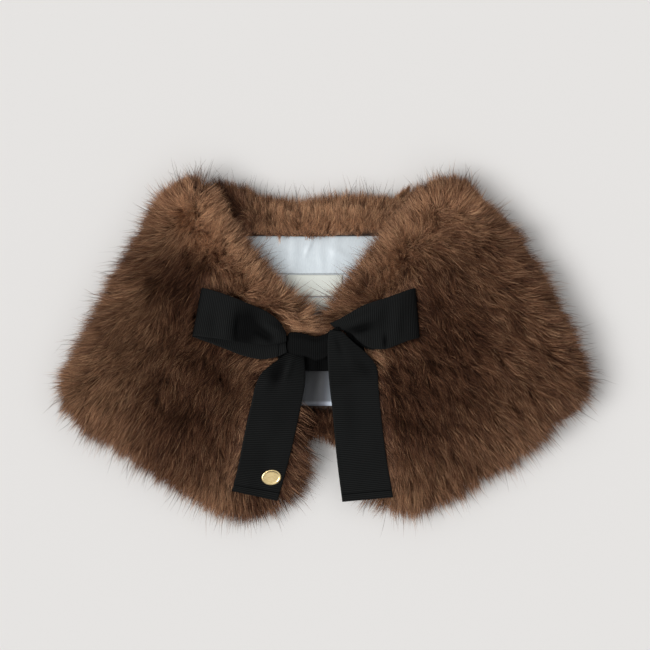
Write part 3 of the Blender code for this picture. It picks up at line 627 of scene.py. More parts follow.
def guides_for(pelt, growth, seed):
    """Guide hairs over a pelt, drawn together into locks, and the leader of each."""
    rng = np.random.default_rng(seed)
    area = (pelt.areas * growth.weigh(pelt.middles, pelt.facing)).sum()
    count = int(area / growth.spacing**2)
    roots, normals = pelt.scatter(rng, count, growth.weigh)
    vary = 1 + GUIDE_VARY * rng.standard_normal(count).clip(-2, 2)
    lean = rng.standard_normal(count).clip(-2, 2)
    guides = grow(pelt, roots, normals, growth.flow, growth.reach(roots) * vary, lean)
    leaders = rng.choice(count, count // growth.lock_size, replace=False)
    own = leaders[nearest_of(roots, roots[leaders], 1)[0][:, 0]]
    least, more = LOCK_RANGE
    pull = LOCK_PULL * GUIDE_SHARES**LOCK_CURVE * (least + more * rng.random(count))[:, None]
    guides += (guides[own] - guides) * pull[:, :, None]
    return guides, own


# How a coat of hairs is made: how many, how long against its guides, how much their length varies,
# how far they are drawn into clumps, how they spread, their widths along them, and where along the
# guides their points are.
Coat = namedtuple("Coat", "count length vary clump spread widths shares")
# What it grows on: the node, its pile, its guides and their leaders, where, and the fur's tones.
Fleece = namedtuple("Fleece", "node pelt guides own weigh tones")
GUIDES_EACH, GUIDE_SOFT = 3, 0.7  # how many guides shape a hair, and how softly they share it
# How late along a hair it is drawn into its clump, how much that varies, and how late it strays.
CLUMP_CURVE, CLUMP_RANGE, STRAY_CURVE = 1.3, (0.5, 0.8), 1.2


def hairs(fleece, coat, rng):
    """Points along each hair of a coat, the skin's direction at its root, and its nearest guide."""
    guides = fleece.guides
    roots, normals = fleece.pelt.scatter(rng, coat.count, fleece.weigh)
    index, away = nearest_of(roots, guides[:, 0], GUIDES_EACH)
    share = 1 / (away + GUIDE_SOFT) ** 2
    share /= share.sum(axis=1, keepdims=True)
    shares = np.array(coat.shares)
    at = shares * len(LIFTS)
    low = np.minimum(at.astype(int), len(LIFTS) - 1)
    part = (at - low)[None, :, None]
    read = guides[:, low] * (1 - part) + guides[:, low + 1] * part
    shape = ((read[index] - read[index][:, :, :1]) * share[:, :, None, None]).sum(axis=1)
    scale = coat.length * (1 + coat.vary * rng.uniform(-1, 1, coat.count))
    points = roots[:, None] + shape * scale[:, None, None]
    least, more = CLUMP_RANGE
    pull = coat.clump * shares**CLUMP_CURVE * (least + more * rng.random(coat.count))[:, None]
    points += (read[index[:, 0]] - points) * pull[:, :, None]
    stray = rng.standard_normal((coat.count, 1, 3)) * shares[None, :, None] ** STRAY_CURVE
    bow = rng.standard_normal((coat.count, 1, 3)) * (shares * (1 - shares))[None, :, None]
    points += coat.spread * (stray + bow)
    return points, normals, index[:, 0]


# A hair's colour is read from its map: across, three kinds of hair, each from dark to light, and
# along the hair from root to tip. Lighter fur has more of the third kind and less of the second.
KINDS = 3
HAIR_STRIPE = 0.006
# How much a hair's tone changes its kind, the limits between kinds, and the part of a kind's width
# on the map that is read.
KIND_SHIFT, KIND_LIMITS = 0.35, (0.28, 0.82)
KIND_START, KIND_WIDE = 0.04, 0.9
# A hair's turn about its length, the range of its width, and how round its normals make it look.
TWIST, WIDTH_RANGE, ROUND = 0.7, (0.75, 1.25), (0.8, 0.6)


def colour_of(tone, rng):
    """Where across the map each hair reads its colour, for its tone from 0 to 1."""
    chance = rng.random(len(tone)) + KIND_SHIFT * (tone - 0.5)
    kind = np.where(chance < KIND_LIMITS[0], 1, np.where(chance > KIND_LIMITS[1], 2, 0))
    return (kind + KIND_START + KIND_WIDE * np.clip(tone, 0.0, 1.0)) / KINDS


def blades(name, points, normals, widths, colour, light, rng):
    """Hairs as tapered blades, with normals as if they were round."""
    count, steps = points.shape[:2]
    side = unit(np.cross(unit(np.gradient(points, axis=1)), normals[:, None]))
    face = np.cross(side, unit(np.gradient(points, axis=1)))
    twist = rng.uniform(-TWIST, TWIST, (count, 1, 1))
    side, face = side * np.cos(twist) + face * np.sin(twist), face * np.cos(twist) - side * np.sin(twist)
    half = side * (np.array(widths)[None, :, None] / 2) * rng.uniform(*WIDTH_RANGE, (count, 1, 1))
    ahead, aside = face * ROUND[0], side * ROUND[1]

    def paired(left, right, tips):
        """Two points at each step of a hair but the last, which has one."""
        pairs = np.stack([left[:, :-1], right[:, :-1]], axis=2).reshape(count, -1, 3)
        return np.concatenate([pairs, tips[:, -1:]], axis=1)

    vertices = paired(points - half, points + half, points)
    bends = paired(unit(ahead - aside), unit(ahead + aside), face)
    each = vertices.shape[1]
    quads = [[2 * i, 2 * i + 1, 2 * i + 3, 2 * i + 2] for i in range(steps - 2)]
    pattern = np.concatenate([np.array(quads, int).reshape(-1), [each - 3, each - 2, each - 1]])
    corners = (np.arange(count)[:, None] * each + pattern[None, :]).reshape(-1)
    sides = np.tile([4] * (steps - 2) + [3], count)
    u = np.stack([colour, colour + HAIR_STRIPE], axis=1)
    uv = np.zeros((count, each, 2))
    uv[:, 0:-1:2, 0] = u[:, :1]
    uv[:, 1:-1:2, 0] = u[:, 1:]
    uv[:, -1, 0] = u.mean(axis=1)
    along = np.repeat(np.linspace(0, 1, steps)[:-1], 2)
    uv[:, :-1, 1] = light[:, None] + (1 - light[:, None]) * along
    uv[:, -1, 1] = 1.0
    vertices, bends = vertices.reshape(-1, 3), bends.reshape(-1, 3)
    return make_mesh(name, vertices, corners, sides, uv.reshape(-1, 2), normals=bends)


# The underside of what lies on the fur: hairs stay below it, and rise again beside it.
RIBBONS = ("ribbon_band", "tail_left", "tail_right", "loop_left", "loop_right", "knot")
OPEN = 1e6  # where nothing lies on it
CEILING_SLOPE, CEILING_STEPS = 0.9, 6  # how steeply hairs rise beside a ribbon, and for how many cells
HAIR_FLOOR = 0.4  # how far hairs stay above the surface
HAIR_GAP = 0.7  # how far hairs stay under a ribbon
SETTLE_SHARES = (0.25, 0.5, 0.75)  # where between two of its points a hair stays under it too
WINDOW = ((-26.0, -60.0), (7.0, -21.0))  # the lining shows here between the tails, clear of hairs


def spread_ceiling(cells):
    """A ceiling that slopes up around the ribbons."""
    for _ in range(CEILING_STEPS):
        beside = np.minimum.reduce(neighbours(cells, OPEN)) + CEILING_SLOPE * CEILING.size
        cells = np.minimum(cells, beside)
    return cells


RIBBON_TREE = tree_of(RIBBONS)
RIBBON_CEILING = over(CEILING, lambda x, y: underside_at(RIBBON_TREE, x, y, OPEN))
HAIR_CEILING = spread_ceiling(RIBBON_CEILING)


def ceiling_at(points, ceiling):
    i = np.round((points[..., 0] - CEILING.x) / CEILING.size).astype(int)
    j = np.round((points[..., 1] - CEILING.y) / CEILING.size).astype(int)
    inside = (i >= 0) & (i < CEILING.columns) & (j >= 0) & (j < CEILING.rows)
    found = np.full(points.shape[:-1], OPEN)
    found[inside] = ceiling[j[inside], i[inside]]
    return found


def settle(points, keep_window=True):
    """Presses hairs under what lies on them and keeps them in the model's box; says which stay."""
    points[..., 2] = np.minimum(points[..., 2], ceiling_at(points, HAIR_CEILING) - HAIR_GAP)
    for i in range(1, points.shape[1]):
        before, here = points[:, i - 1], points[:, i]
        for share in SETTLE_SHARES:
            limit = ceiling_at(before * (1 - share) + here * share, HAIR_CEILING) - HAIR_GAP
            here[:, 2] = np.minimum(here[:, 2], (limit - before[:, 2] * (1 - share)) / share)
    low, high = np.array(CAD_BOX[0]) / MM - PROUD, np.array(CAD_BOX[1]) / MM + PROUD
    low[2] = HAIR_FLOOR
    np.clip(points, low, high, out=points)
    if not keep_window:
        return np.ones(len(points), bool)
    (x0, y0), (x1, y1) = WINDOW
    x, y = points[..., 0], points[..., 1]
    return ~((x > x0) & (x < x1) & (y > y0) & (y < y1)).any(axis=1)


def unlit(points):
    return np.zeros(len(points))


# How much the tones change the hairs' colour, and how much it varies from lock to lock, from guide
# to guide and from hair to hair.
TONE_SHARE, LOCK_TONE, GUIDE_TONE, HAIR_TONE = 0.33, 0.03, 0.09, 0.20


def add_coat(name, fleece, coat, seed, base_tone, keep_window=True, lit=unlit):
    rng = np.random.default_rng(seed)
    points, normals, guide = hairs(fleece, coat, rng)
    tone = base_tone + TONE_SHARE * tone_at(points[:, 1], fleece.tones)
    tone += LOCK_TONE * rng.standard_normal(len(fleece.guides))[fleece.own[guide]]
    tone += GUIDE_TONE * rng.standard_normal(len(fleece.guides))[guide]
    tone += HAIR_TONE * rng.standard_normal(len(points))
    colour = colour_of(tone, rng)
    light = lit(points[:, 0])
    stays = settle(points, keep_window)
    mesh = blades(name, points[stays], normals[stays], coat.widths, colour[stays], light[stays], rng)
    return add_piece(name, mesh, HAIR, fleece.node)


WISP_SHARES = np.array([0.0, 0.25, 0.5, 0.75, 1.0])
WISP_WIDTHS = (0.30, 0.28, 0.24, 0.18, 0.0)
# How wisps rise and fall along them, how far they fan out in degrees, the range of their lengths,
# how light they are, and how much that varies.
WISP_RISE, WISP_FALL, WISP_FAN = 0.45, 0.5, 13.0
WISP_LENGTHS, WISP_TONE, WISP_VARY = (0.6, 1.1), 0.22, 0.15
WISP_LOWEST = 1.0  # a root below this is beside the fur


def add_wisps(node, pelt, wisps, seed):
    """Single long hairs that stand out of the fur."""
    rng = np.random.default_rng(seed)
    strands = []
    for middle_x, middle_y, turn, length, count, spread in wisps:
        x = middle_x + spread * rng.uniform(-1, 1, count)
        y = middle_y + spread * rng.uniform(-1, 1, count)
        z = np.array([height_at(pelt.tree, a, b) for a, b in zip(x, y)])
        turn = np.radians(turn + WISP_FAN * rng.standard_normal(count))
        far = length * rng.uniform(*WISP_LENGTHS, count)[:, None]
        turns = turn[:, None] + np.radians(WISP_FAN) * rng.standard_normal(count)[:, None] * WISP_SHARES
        level = far * WISP_SHARES
        rise = far * (WISP_RISE * WISP_SHARES - WISP_FALL * WISP_SHARES**2)
        places = (x[:, None] + level * np.cos(turns), y[:, None] + level * np.sin(turns), z[:, None] + rise)
        strands.append(np.stack(places, axis=-1))
    points = np.concatenate(strands)
    points = points[points[:, 0, 2] > WISP_LOWEST]
    stays = settle(points)
    points = points[stays]
    colour = colour_of(WISP_TONE + WISP_VARY * rng.standard_normal(len(points)), rng)
    name = node + "_wisps"
    mesh = blades(name, points, np.tile(UP, (len(points), 1)), WISP_WIDTHS, colour, unlit(points), rng)
    return add_piece(name, mesh, HAIR, node)


# Piles and skins


def remeshed(node, voxel):
    """A copy of a CAD node with even faces."""
    work = bpy.data.objects.new("work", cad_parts[node].data.copy())
    bpy.context.scene.collection.objects.link(work)
    remesh = work.modifiers.new("even", "REMESH")
    remesh.mode = "VOXEL"
    remesh.voxel_size = voxel * MM
    mesh = bpy.data.meshes.new_from_object(work.evaluated_get(bpy.context.evaluated_depsgraph_get()))
    bpy.data.objects.remove(work, do_unlink=True)
    return mesh


# The size of a pile's faces, and how far it is set in from its CAD solid: on top, at the sides, next
# to its skin, and where a ribbon presses it down; then by how much the sides' inset grows to the
# left, the right and the hem.
Pile = namedtuple("Pile", "voxel top side skin pressed left right hem")


def add_pile(node, form, tones, skin_down):
    """The dense underfur as one closed form, set in from the CAD solid by as much as hairs cover."""
    mesh = remeshed(node, form.voxel)
    mesh.name = node + "_pile"
    mesh.materials.clear()
    pelt = Pelt(mesh)
    add_map(mesh, "tone", tone_at(pelt.points, tones) / (2 * BRIGHTEST) + 0.5)
    hair_side = 1.0 if skin_down else -1.0
    up = pelt.normals[:, 2] * hair_side
    pressed = ceiling_at(pelt.points, RIBBON_CEILING) < OPEN
    mounds = np.zeros(len(pelt.points))
    for high, wave in waves(pelt.points, MOUNDS):
        mounds += high * wave
    top = np.where(pressed, form.pressed, form.top - mounds)
    side = np.where(pressed, form.pressed, form.side)[:, None]
    x, y = pelt.normals[:, :1], pelt.normals[:, 1:2]
    side *= 1 + (form.left - 1) * np.clip(-x, 0.0, 1.0) + (form.right - 1) * np.clip(x, 0.0, 1.0)
    side *= 1 + (form.hem - 1) * np.clip(-y, 0.0, 1.0)
    side *= spots_at(pelt.points, SPOTS)[:, None]
    points = pelt.points.copy()
    points[:, :2] -= pelt.normals[:, :2] * side
    points[:, :2] += nearness(pelt.points, PULLS) @ np.array(PULLS)[:, 3:]
    points[:, 2] -= hair_side * (np.maximum(up, 0.0) * top - np.maximum(-up, 0.0) * form.skin)
    points[:, 2] = np.maximum(points[:, 2], HAIR_FLOOR)
    mesh.vertices.foreach_set("co", np.asarray(points * MM, np.float32).ravel())
    mesh.update()
    mesh.shade_smooth()
    return add_piece(mesh.name, mesh, UNDERFUR, node), Pelt(mesh)


def add_fleece(node, form, tones, growth, seed, weigh=None, skin_down=True):
    """A node's pile, and what its coats grow on."""
    pile, pelt = add_pile(node, form, tones, skin_down)
    guides, own = guides_for(pelt, growth, seed)
    return pile, Fleece(node, pelt, guides, own, weigh or growth.weigh, tones)


# How far a skin stays inside its panel's edges, as shares of the panel.
Margin = namedtuple("Margin", "ends neck hem")
SKIN, SKIN_STEP = 1.2, 6.0


def panel_grid(panel, step, margin):
    """A grid of frame points between a panel's four edges, a little inside them."""
    columns = int(lengths(panel.hem)[-1] / step)
    rows = int(lengths(panel.side)[-1] / step)
    across = np.linspace(margin.ends, 1 - margin.ends, columns + 1)
    down = np.linspace(margin.neck, 1 - margin.hem, rows + 1)
    neck, hem = through(panel.neck, across), through(panel.hem, across)
    front, side = through(panel.front, down), through(panel.side, down)
    u, v = across[None, :, None], down[:, None, None]
    (neck0, neck1), (hem0, hem1) = (through(edge, np.array([0.0, 1.0])) for edge in (panel.neck, panel.hem))
    corners = (1 - u) * (1 - v) * neck0 + u * (1 - v) * neck1 + (1 - u) * v * hem0 + u * v * hem1
    return (1 - v) * neck + v * hem + (1 - u) * front[:, None] + u * side[:, None] - corners + PLAN


def add_skin(node, panel, margin, up=False):
    """The fabric that the pile is knitted into: a thin shell on the solid's flat side."""
    plan = panel_grid(panel, SKIN_STEP, margin)
    tree = tree_of([node])
    flat = plan.reshape(-1, 2)
    if up:
        z = np.array([height_at(tree, x, y) for x, y in flat]) - SKIN / 2
    else:
        z = np.array([underside_at(tree, x, y, np.nan) for x, y in flat]) + SKIN / 2
    z = np.where(np.isnan(z), np.nanmedian(z), z)
    name = node + "_skin"
    return add_piece(name, shell_mesh(name, np.dstack([plan, z.reshape(plan.shape[:2])]), SKIN), KNIT)


# Materials


class Look:
    """A material in the making. A value is a number, a colour or another node's output."""

    def __init__(self, name):
        self.material = bpy.data.materials.new(name)
        self.material.use_nodes = True
        self.tree = self.material.node_tree
        self.tree.nodes.clear()
        self.shader = self.node("BsdfPrincipled")
        self.node("OutputMaterial", {"Surface": self.shader.outputs["BSDF"]})

    def put(self, socket, value):
        """Gives an input its value."""
        if isinstance(value, bpy.types.NodeSocket):
            self.tree.links.new(value, socket)
        elif socket.type == "RGBA":
            socket.default_value = (*value, 1.0)
        else:
            socket.default_value = value

    def node(self, kind, values=(), **properties):
        """A new node with its properties, and its inputs by number or name, set."""
        made = self.tree.nodes.new("ShaderNode" + kind)
        for key, value in properties.items():
            setattr(made, key, value)
        for key, value in dict(values).items():
            self.put(made.inputs[key], value)
        return made

    def place(self):
        return self.node("TexCoord").outputs["Object"]

    def map(self, name):
        return self.node("UVMap", uv_map=name).outputs["UV"]

    def parts(self, vector):
        """The x and y of a vector."""
        parts = self.node("SeparateXYZ", {0: vector})
        return parts.outputs["X"], parts.outputs["Y"]

    def noise(self, vector, detail, scale=1.0, stretch=None):
        if stretch:
            vector = self.node("Mapping", {"Vector": vector, "Scale": stretch}).outputs["Vector"]
        return self.node("TexNoise", {"Vector": vector, "Scale": scale, "Detail": detail}).outputs["Fac"]

    def bands(self, scale, distortion, direction="X"):
        values = {"Vector": self.place(), "Scale": scale, "Distortion": distortion}
        return self.node("TexWave", values, bands_direction=direction).outputs["Fac"]

    def math(self, operation, *values, clamp=False):
        return self.node("Math", dict(enumerate(values)), operation=operation, use_clamp=clamp).outputs[0]

    def line(self, value, at, half_width):
        """1 where a value is at a line, falling to 0 beside it."""
        away = self.math("ABSOLUTE", self.math("SUBTRACT", value, at))
        return self.math("SUBTRACT", 1.0, self.math("MULTIPLY", away, 1 / half_width), clamp=True)

    def mix(self, share, a, b, blend="MIX"):
        return self.node("Mix", {0: share, 6: a, 7: b}, data_type="RGBA", blend_type=blend).outputs[2]

    def times(self, a, b):
        return self.mix(1.0, a, b, "MULTIPLY")

    def ramp(self, source, stops):
        """A colour ramp: stops are a position and a colour, or a number for a grey."""
        made = self.node("ValToRGB", {"Fac": source})
        elements = made.color_ramp.elements
        while len(elements) < len(stops):
            elements.new(0.5)
        for element, (position, colour) in zip(elements, stops):
            element.position = position
            element.color = (*colour, 1.0) if isinstance(colour, tuple) else (colour, colour, colour, 1.0)
        return made.outputs["Color"]

    def finish(self, colour, roughness, specular=0.5, bump=None, **others):
        """The material; a bump is its height, its strength and its depth in metres."""
        values = {"Base Color": colour, "Roughness": roughness, "Specular IOR Level": specular, **others}
        if bump:
            height, strength, depth = bump
            made = self.node("Bump", {"Height": height, "Strength": strength, "Distance": depth})
            values["Normal"] = made.outputs["Normal"]
        for key, value in values.items():
            self.put(self.shader.inputs[key], value)
        return self.material


# Hair colours at the tip, for each kind from dark to light; roots are a share of them.
WARM = ((0.034, 0.0130, 0.0075), (0.185, 0.0800, 0.0430), (0.600, 0.330, 0.185))
ASH = ((0.018, 0.0085, 0.0062), (0.110, 0.0510, 0.0320), (0.400, 0.225, 0.140))
GOLD_HAIR = ((0.062, 0.0260, 0.0130), (0.270, 0.1320, 0.0670), (0.720, 0.440, 0.250))
ROOT_TO_TIP = ((0.0, (0.30, 0.28, 0.27)), (0.35, (0.60, 0.58, 0.57)), (0.75, 1.0), (1.0, 1.3))
MOTTLING = ((0.12, (0.36, 0.36, 0.38)), (0.42, (1.7, 1.65, 1.65)))
UNDERFUR_TONES = (
    (0.15, (0.026, 0.0135, 0.0090)), (0.5, (0.055, 0.0285, 0.0180)), (1.0, (0.230, 0.130, 0.078)),
)


def hair_material():
    look = Look("fur_hairs")
    across, along = look.parts(look.map("OFBake"))
    stops = []
    for kind, colours in enumerate((WARM, ASH, GOLD_HAIR)):
        for share, colour in zip((0.02, 0.5, 0.97), colours):
            stops.append(((kind + share) / KINDS, colour))
    colour = look.times(look.ramp(across, stops), look.ramp(along, ROOT_TO_TIP))
    return look.finish(colour, 0.5, specular=0.12)


def underfur_material():
    look = Look("fur_underfur")
    fine = look.noise(look.place(), 4.0, scale=900.0)
    broad = look.noise(look.place(), 2.0, scale=45.0)
    mottled = look.ramp(look.math("MULTIPLY", fine, broad), MOTTLING)
    toned = look.ramp(look.parts(look.map("tone"))[0], UNDERFUR_TONES)
    return look.finish(look.times(mottled, toned), 0.9, specular=0.1, bump=(fine, 0.5, 0.001))


def knit_material():
    """The backing of the fur: a dark brown knit."""
    look = Look("fur_backing")
    wales = look.bands(700.0, 0.4)
    colour = look.ramp(wales, ((0.0, (0.030, 0.018, 0.012)), (1.0, (0.075, 0.048, 0.034))))
    return look.finish(colour, 0.85, bump=(wales, 0.4, 0.0005))


# Painted shade: the lining is darkened in the deep gap between the tails, less so towards the right tail,
# and painted brighter along its foot, as a highlight: up it from its foot, 0, to past the knot, 1, where
# OUT_OF_GAP takes over, and across it from the left tail, 0, to the right one, 1.
SHADE_LENGTH, SHADE_START = 0.1, 0.7
SHADE_UP = ((0.10, 1.7), (0.145, 1.5), (0.165, 0.50), (0.5, 0.18))
OUT_OF_GAP = ((0.5, 0.0), (0.9, 1.0))
GAP_WIDE, GAP_START = 0.033, 0.79
SHADE_ACROSS = (
    (0.1, (0.20, 0.20, 0.22)), (0.5, (0.12, 0.115, 0.13)), (0.7, (0.24, 0.23, 0.26)),
    (0.86, (0.62, 0.62, 0.68)), (0.95, (0.9, 0.92, 0.98)),
)


def satin_material():
    look = Look("lining_satin")
    threads = look.noise(look.place(), 3.0, stretch=(2600.0, 260.0, 260.0))
    colour = look.ramp(threads, ((0.3, (0.625, 0.695, 0.74)), (0.7, (0.73, 0.80, 0.84))))
    x, y = look.parts(look.place())
    up = look.math("MULTIPLY_ADD", y, 1 / SHADE_LENGTH, SHADE_START)
    across = look.math("MULTIPLY_ADD", x, 1 / GAP_WIDE, GAP_START)
    # Painted shade in the gap between the tails, with a painted highlight along the lining's foot.
    in_gap = look.times(look.ramp(up, SHADE_UP), look.ramp(across, SHADE_ACROSS))
    shade = look.mix(look.ramp(up, OUT_OF_GAP), in_gap, (1.0, 1.0, 1.0))
    sheen = {"Sheen Weight": 0.15, "Anisotropic": 0.4}
    return look.finish(look.times(colour, shade), 0.36, bump=(threads, 0.25, 0.0002), **sheen)


LABEL_HEM_SHADOW, LABEL_HEM_SHADOW_WIDE = 51.0, 0.9  # the dark line along the main label's lower edge: its hem thread and painted shadow of that edge


def woven_material():
    look = Look("label_weave")
    both = look.math("MULTIPLY", look.bands(420.0, 0.6), look.bands(520.0, 0.6, "Y"))
    colour = look.ramp(both, ((0.0, (0.73, 0.76, 0.70)), (0.6, (0.93, 0.97, 0.91))))
    # A dark line along the lower edge: the hem thread, with painted shadow of the edge.
    hem = look.line(look.parts(look.place())[1], LABEL_HEM_SHADOW * MM, LABEL_HEM_SHADOW_WIDE * MM)
    return look.finish(look.mix(hem, colour, (0.22, 0.22, 0.22)), 0.75, bump=(both, 0.5, 0.0003))


RIB = 1.9  # the pitch of the ribbon's ribs
# In the map's units: how far from the ribbons' ends the hems are sewn, with what stitch, and the
# width of the selvedge.
STITCHES, STITCH_WIDE, SELVEDGE = 0.075, 0.006, 0.012
THREAD_HIGH, SELVEDGE_HIGH, STITCH_DEEP = 0.35, 0.8, 1.6
IN_SHADE = 0.75  # how far a ribbon's colour is darkened where its painted shade is full


def grosgrain_material():
    """Ribs across the ribbon, read from its own map."""
    look = Look("ribbon_grosgrain")
    weave = look.map("weave")
    x, y = look.parts(weave)
    turns = look.math("MULTIPLY", y, 2 * np.pi * MAP_UNIT / RIB)
    ribs = look.math("MULTIPLY_ADD", look.math("SINE", turns), 0.5, 0.5)
    threads = look.noise(weave, 2.0, stretch=(60.0, 900.0, 1.0))
    height = look.math("MULTIPLY_ADD", threads, THREAD_HIGH, ribs)
    from_middle = look.math("ABSOLUTE", look.math("SUBTRACT", x, MAP_WIDE / 2))
    selvedge = look.math("GREATER_THAN", from_middle, MAP_WIDE / 2 - SELVEDGE)
    height = look.math("MAXIMUM", height, look.math("MULTIPLY", selvedge, SELVEDGE_HIGH))
    seam = look.line(y, STITCHES, STITCH_WIDE)
    height = look.math("SUBTRACT", height, look.math("MULTIPLY", seam, STITCH_DEEP))
    colour = look.ramp(height, ((0.1, (0.0030, 0.0032, 0.0033)), (1.0, (0.0135, 0.0141, 0.0139))))
    # Painted shade: the shade map darkens the ribbon's colour towards near black.
    share = look.math("MULTIPLY", look.parts(look.map("shade"))[0], IN_SHADE)
    colour = look.mix(share, colour, (0.0008, 0.0008, 0.0009))
    return look.finish(colour, 0.6, specular=0.03, bump=(height, 0.7, 0.0004))


def gold_material():
    look = Look("trim_gold")
    brushed = look.noise(look.place(), 3.0, stretch=(300.0, 3500.0, 300.0))
    colour = look.ramp(brushed, ((0.3, (0.72, 0.52, 0.22)), (0.7, (0.92, 0.76, 0.44))))
    return look.finish(colour, 0.24, Metallic=1.0)


HAIR = hair_material()
UNDERFUR = underfur_material()
KNIT = knit_material()
SATIN = satin_material()
WOVEN = woven_material()
GROSGRAIN = grosgrain_material()
GOLD = gold_material()


# The fur pieces

WALL = -0.35  # hairs grow from upright faces, and not from those that look down by this much
COVERED = 0.25  # the share of a coat that grows where a ribbon covers it


def top_and_sides(middles, facing):
    """Hairs grow from the top and the sides of a pile, and not from its underside."""
    return between(facing[:, 2], WALL, 0.0)


def parting_of(panel):
    """How near each point is to where a front's fur parts, from 0 to 1."""
    neck = line_of(panel.neck)
    return lambda points: np.exp(-(((from_line(points[:, :2], neck)[0] - PARTING) / PARTING_WIDE) ** 2))


def on_front(parting):
    """Fewer hairs grow where a ribbon covers them, and more where the fur parts."""

    def weigh(middles, facing):
        covered = ceiling_at(middles, RIBBON_CEILING) < OPEN
        denser = 1 + PARTING_MORE * parting(middles)
        return top_and_sides(middles, facing) * np.where(covered, COVERED, 1.0) * denser

    return weigh


GUARD = Coat(58000, 1.0, 0.35, 0.3, 2.4, (0.34, 0.28, 0.0), (0.0, 0.5, 1.0))
WOOL = Coat(48000, 0.7, 0.35, 0.2, 2.4, (0.48, 0.36, 0.0), (0.0, 0.5, 1.0))
STRAY = Coat(5400, 1.35, 0.3, 0.0, 4.5, (0.34, 0.30, 0.0), (0.0, 0.6, 1.0))
# A front's coats, from the inside out, and how light each is, from 0 to 1, before its tones.
COATS = (("wool", WOOL, 0.46), ("guard", GUARD, 0.55), ("strays", STRAY, 0.36))
# How long the hairs are, how far apart guides grow, and how many guides are in a lock.
FRONT_REACH, FRONT_SPACING, FRONT_LOCK = 21.0, 3.2, 20
FRONT_MARGIN = Margin(0.07, 0.07, 0.07)
# Wisps: where their roots are, which way they point, how long they are, how many, and how far their
# roots spread.
WISPS_LEFT = (
    (-88, 80, 40, 44, 46, 8), (-76, 66, 46, 42, 28, 7), (-102, 98, 44, 42, 34, 8),
    (-124, 150, 92, 40, 60, 7), (-136, 146, 108, 36, 36, 12), (-112, 138, 84, 40, 30, 6),
)
WISPS_RIGHT = (
    (59, 80, 126, 40, 20, 6), (75, 98, 120, 38, 18, 6), (41, 56, 130, 36, 14, 5),
    (98, 142, 112, 34, 26, 8), (114, 148, 96, 34, 26, 10), (134, 146, 72, 32, 22, 10),
)


def add_front(node, panel, combs, opening_side, form, wisps, seed):
    flow = front_flow(panel, combs, opening_side)
    growth = Growth(flow, front_reach(panel, FRONT_REACH), top_and_sides, FRONT_SPACING, FRONT_LOCK)
    parting = parting_of(panel)
    pile, fleece = add_fleece(node, form, TONES, growth, seed, on_front(parting))
    skin = add_skin(node, panel, FRONT_MARGIN)
    fur = [pile]

    def lit(points):
        return PARTING_LIGHT * parting(points)

    for layer, (part, coat, base_tone) in enumerate(COATS, 1):
        fur.append(add_coat(node + "_" + part, fleece, coat, seed + layer, base_tone, lit=lit))
    fur.append(add_wisps(node, fleece.pelt, wisps, seed + layer + 1))
    return skin, fur


FACING_SWIRL = 0.35  # how much of the swirls and the lean the facing's brushed fur has
FACING_REACH, FACING_SPACING, FACING_LOCK = 12.0, 3.0, 16
FACING_LIGHT, FACING_LIGHT_FROM = 0.9, (116.0, 136.0)
FACING_EDGE = -0.85  # faces that look to the hem by more than this carry no hairs
FACING_PILE = Pile(3.0, 4.5, 14.0, 0.3, 1.0, 1.0, 0.3, -0.13)
FACING_COAT = GUARD._replace(count=21000, spread=1.9, vary=0.5)
FACING_TONE, FACING_MARGIN = 0.5, Margin(0.08, 0.3, 0.04)
WISPS_FACING = (
    (-96, 138, 98, 40, 44, 8), (-78, 134, 97, 32, 44, 10), (-55, 131, 95, 32, 60, 13),
    (-25, 130, 90, 32, 70, 16), (5, 130, 88, 33, 70, 16), (35, 131, 86, 33, 60, 14),
    (60, 132, 88, 30, 34, 10),
)


def facing_reach(points):
    return FACING_REACH * spots_at(points, TRIMS)


def by_the_lining(points):
    """How light the facing's fur is at its roots: more so down by the lining."""
    return FACING_LIGHT * (1 - between(points[:, 1], *FACING_LIGHT_FROM))


def off_the_lining(middles, facing):
    """Nothing grows from the facing's lower edge, where the lining is sewn on."""
    return top_and_sides(middles, facing) * (facing[:, 1] > FACING_EDGE)


def add_neck_facing(node, seed):
    flow = plain_flow(COMBS_UP, FACING_SWIRL)
    growth = Growth(flow, facing_reach, off_the_lining, FACING_SPACING, FACING_LOCK)
    pile, fleece = add_fleece(node, FACING_PILE, FACING_TONES, growth, seed)
    skin = add_skin(node, FACING, FACING_MARGIN)
    guard = add_coat(node + "_guard", fleece, FACING_COAT, seed + 1, FACING_TONE, lit=by_the_lining)
    return skin, [pile, guard, add_wisps(node, fleece.pelt, WISPS_FACING, seed + 2)]


BACK_REACH, BACK_SPACING, BACK_LOCK = 13.0, 3.4, 8
BACK_PILE = Pile(5.0, 0.6, 12.0, 0.3, 0.6, 1.0, 1.0, 1.0)
BACK_COAT = GUARD._replace(count=14000, spread=1.5)
BACK_TONE, BACK_MARGIN = 0.42, Margin(0.03, 0.07, 0.03)
BACK_NECK = (115.0, 0.2)  # the neck is above this and faces up by more than this
BACK_HEM = (-6.0, 34.0, -59.5)  # the hem's middle and half width between the tails, and its top
BACK_DOWN = -0.5  # faces that look down by more than this carry no hairs


def back_edges(middles, facing):
    """The back panel's fur shows along the neck and between the tails, and it lines the rim."""
    x, y = middles[:, 0], middles[:, 1]
    neck = (y > BACK_NECK[0]) * (facing[:, 1] > BACK_NECK[1])
    middle, half, top = BACK_HEM
    hem = (np.abs(x - middle) < half) * (y < top)
    return np.where(neck | hem, 1.0, 0.0) * (facing[:, 2] > BACK_DOWN)


def back_flow(points, lean):
    up, down = (plain_flow(combs)(points, lean) for combs in (COMBS_UP, COMBS_DOWN))
    return np.where(points[:, 1:2] > 0, up, down)


def back_reach(points):
    """How long the fur of the back is, at its neck and its hem."""
    return np.where(points[:, 1] > 0, BACK_REACH * spots_at(points, TRIMS), BACK_REACH)


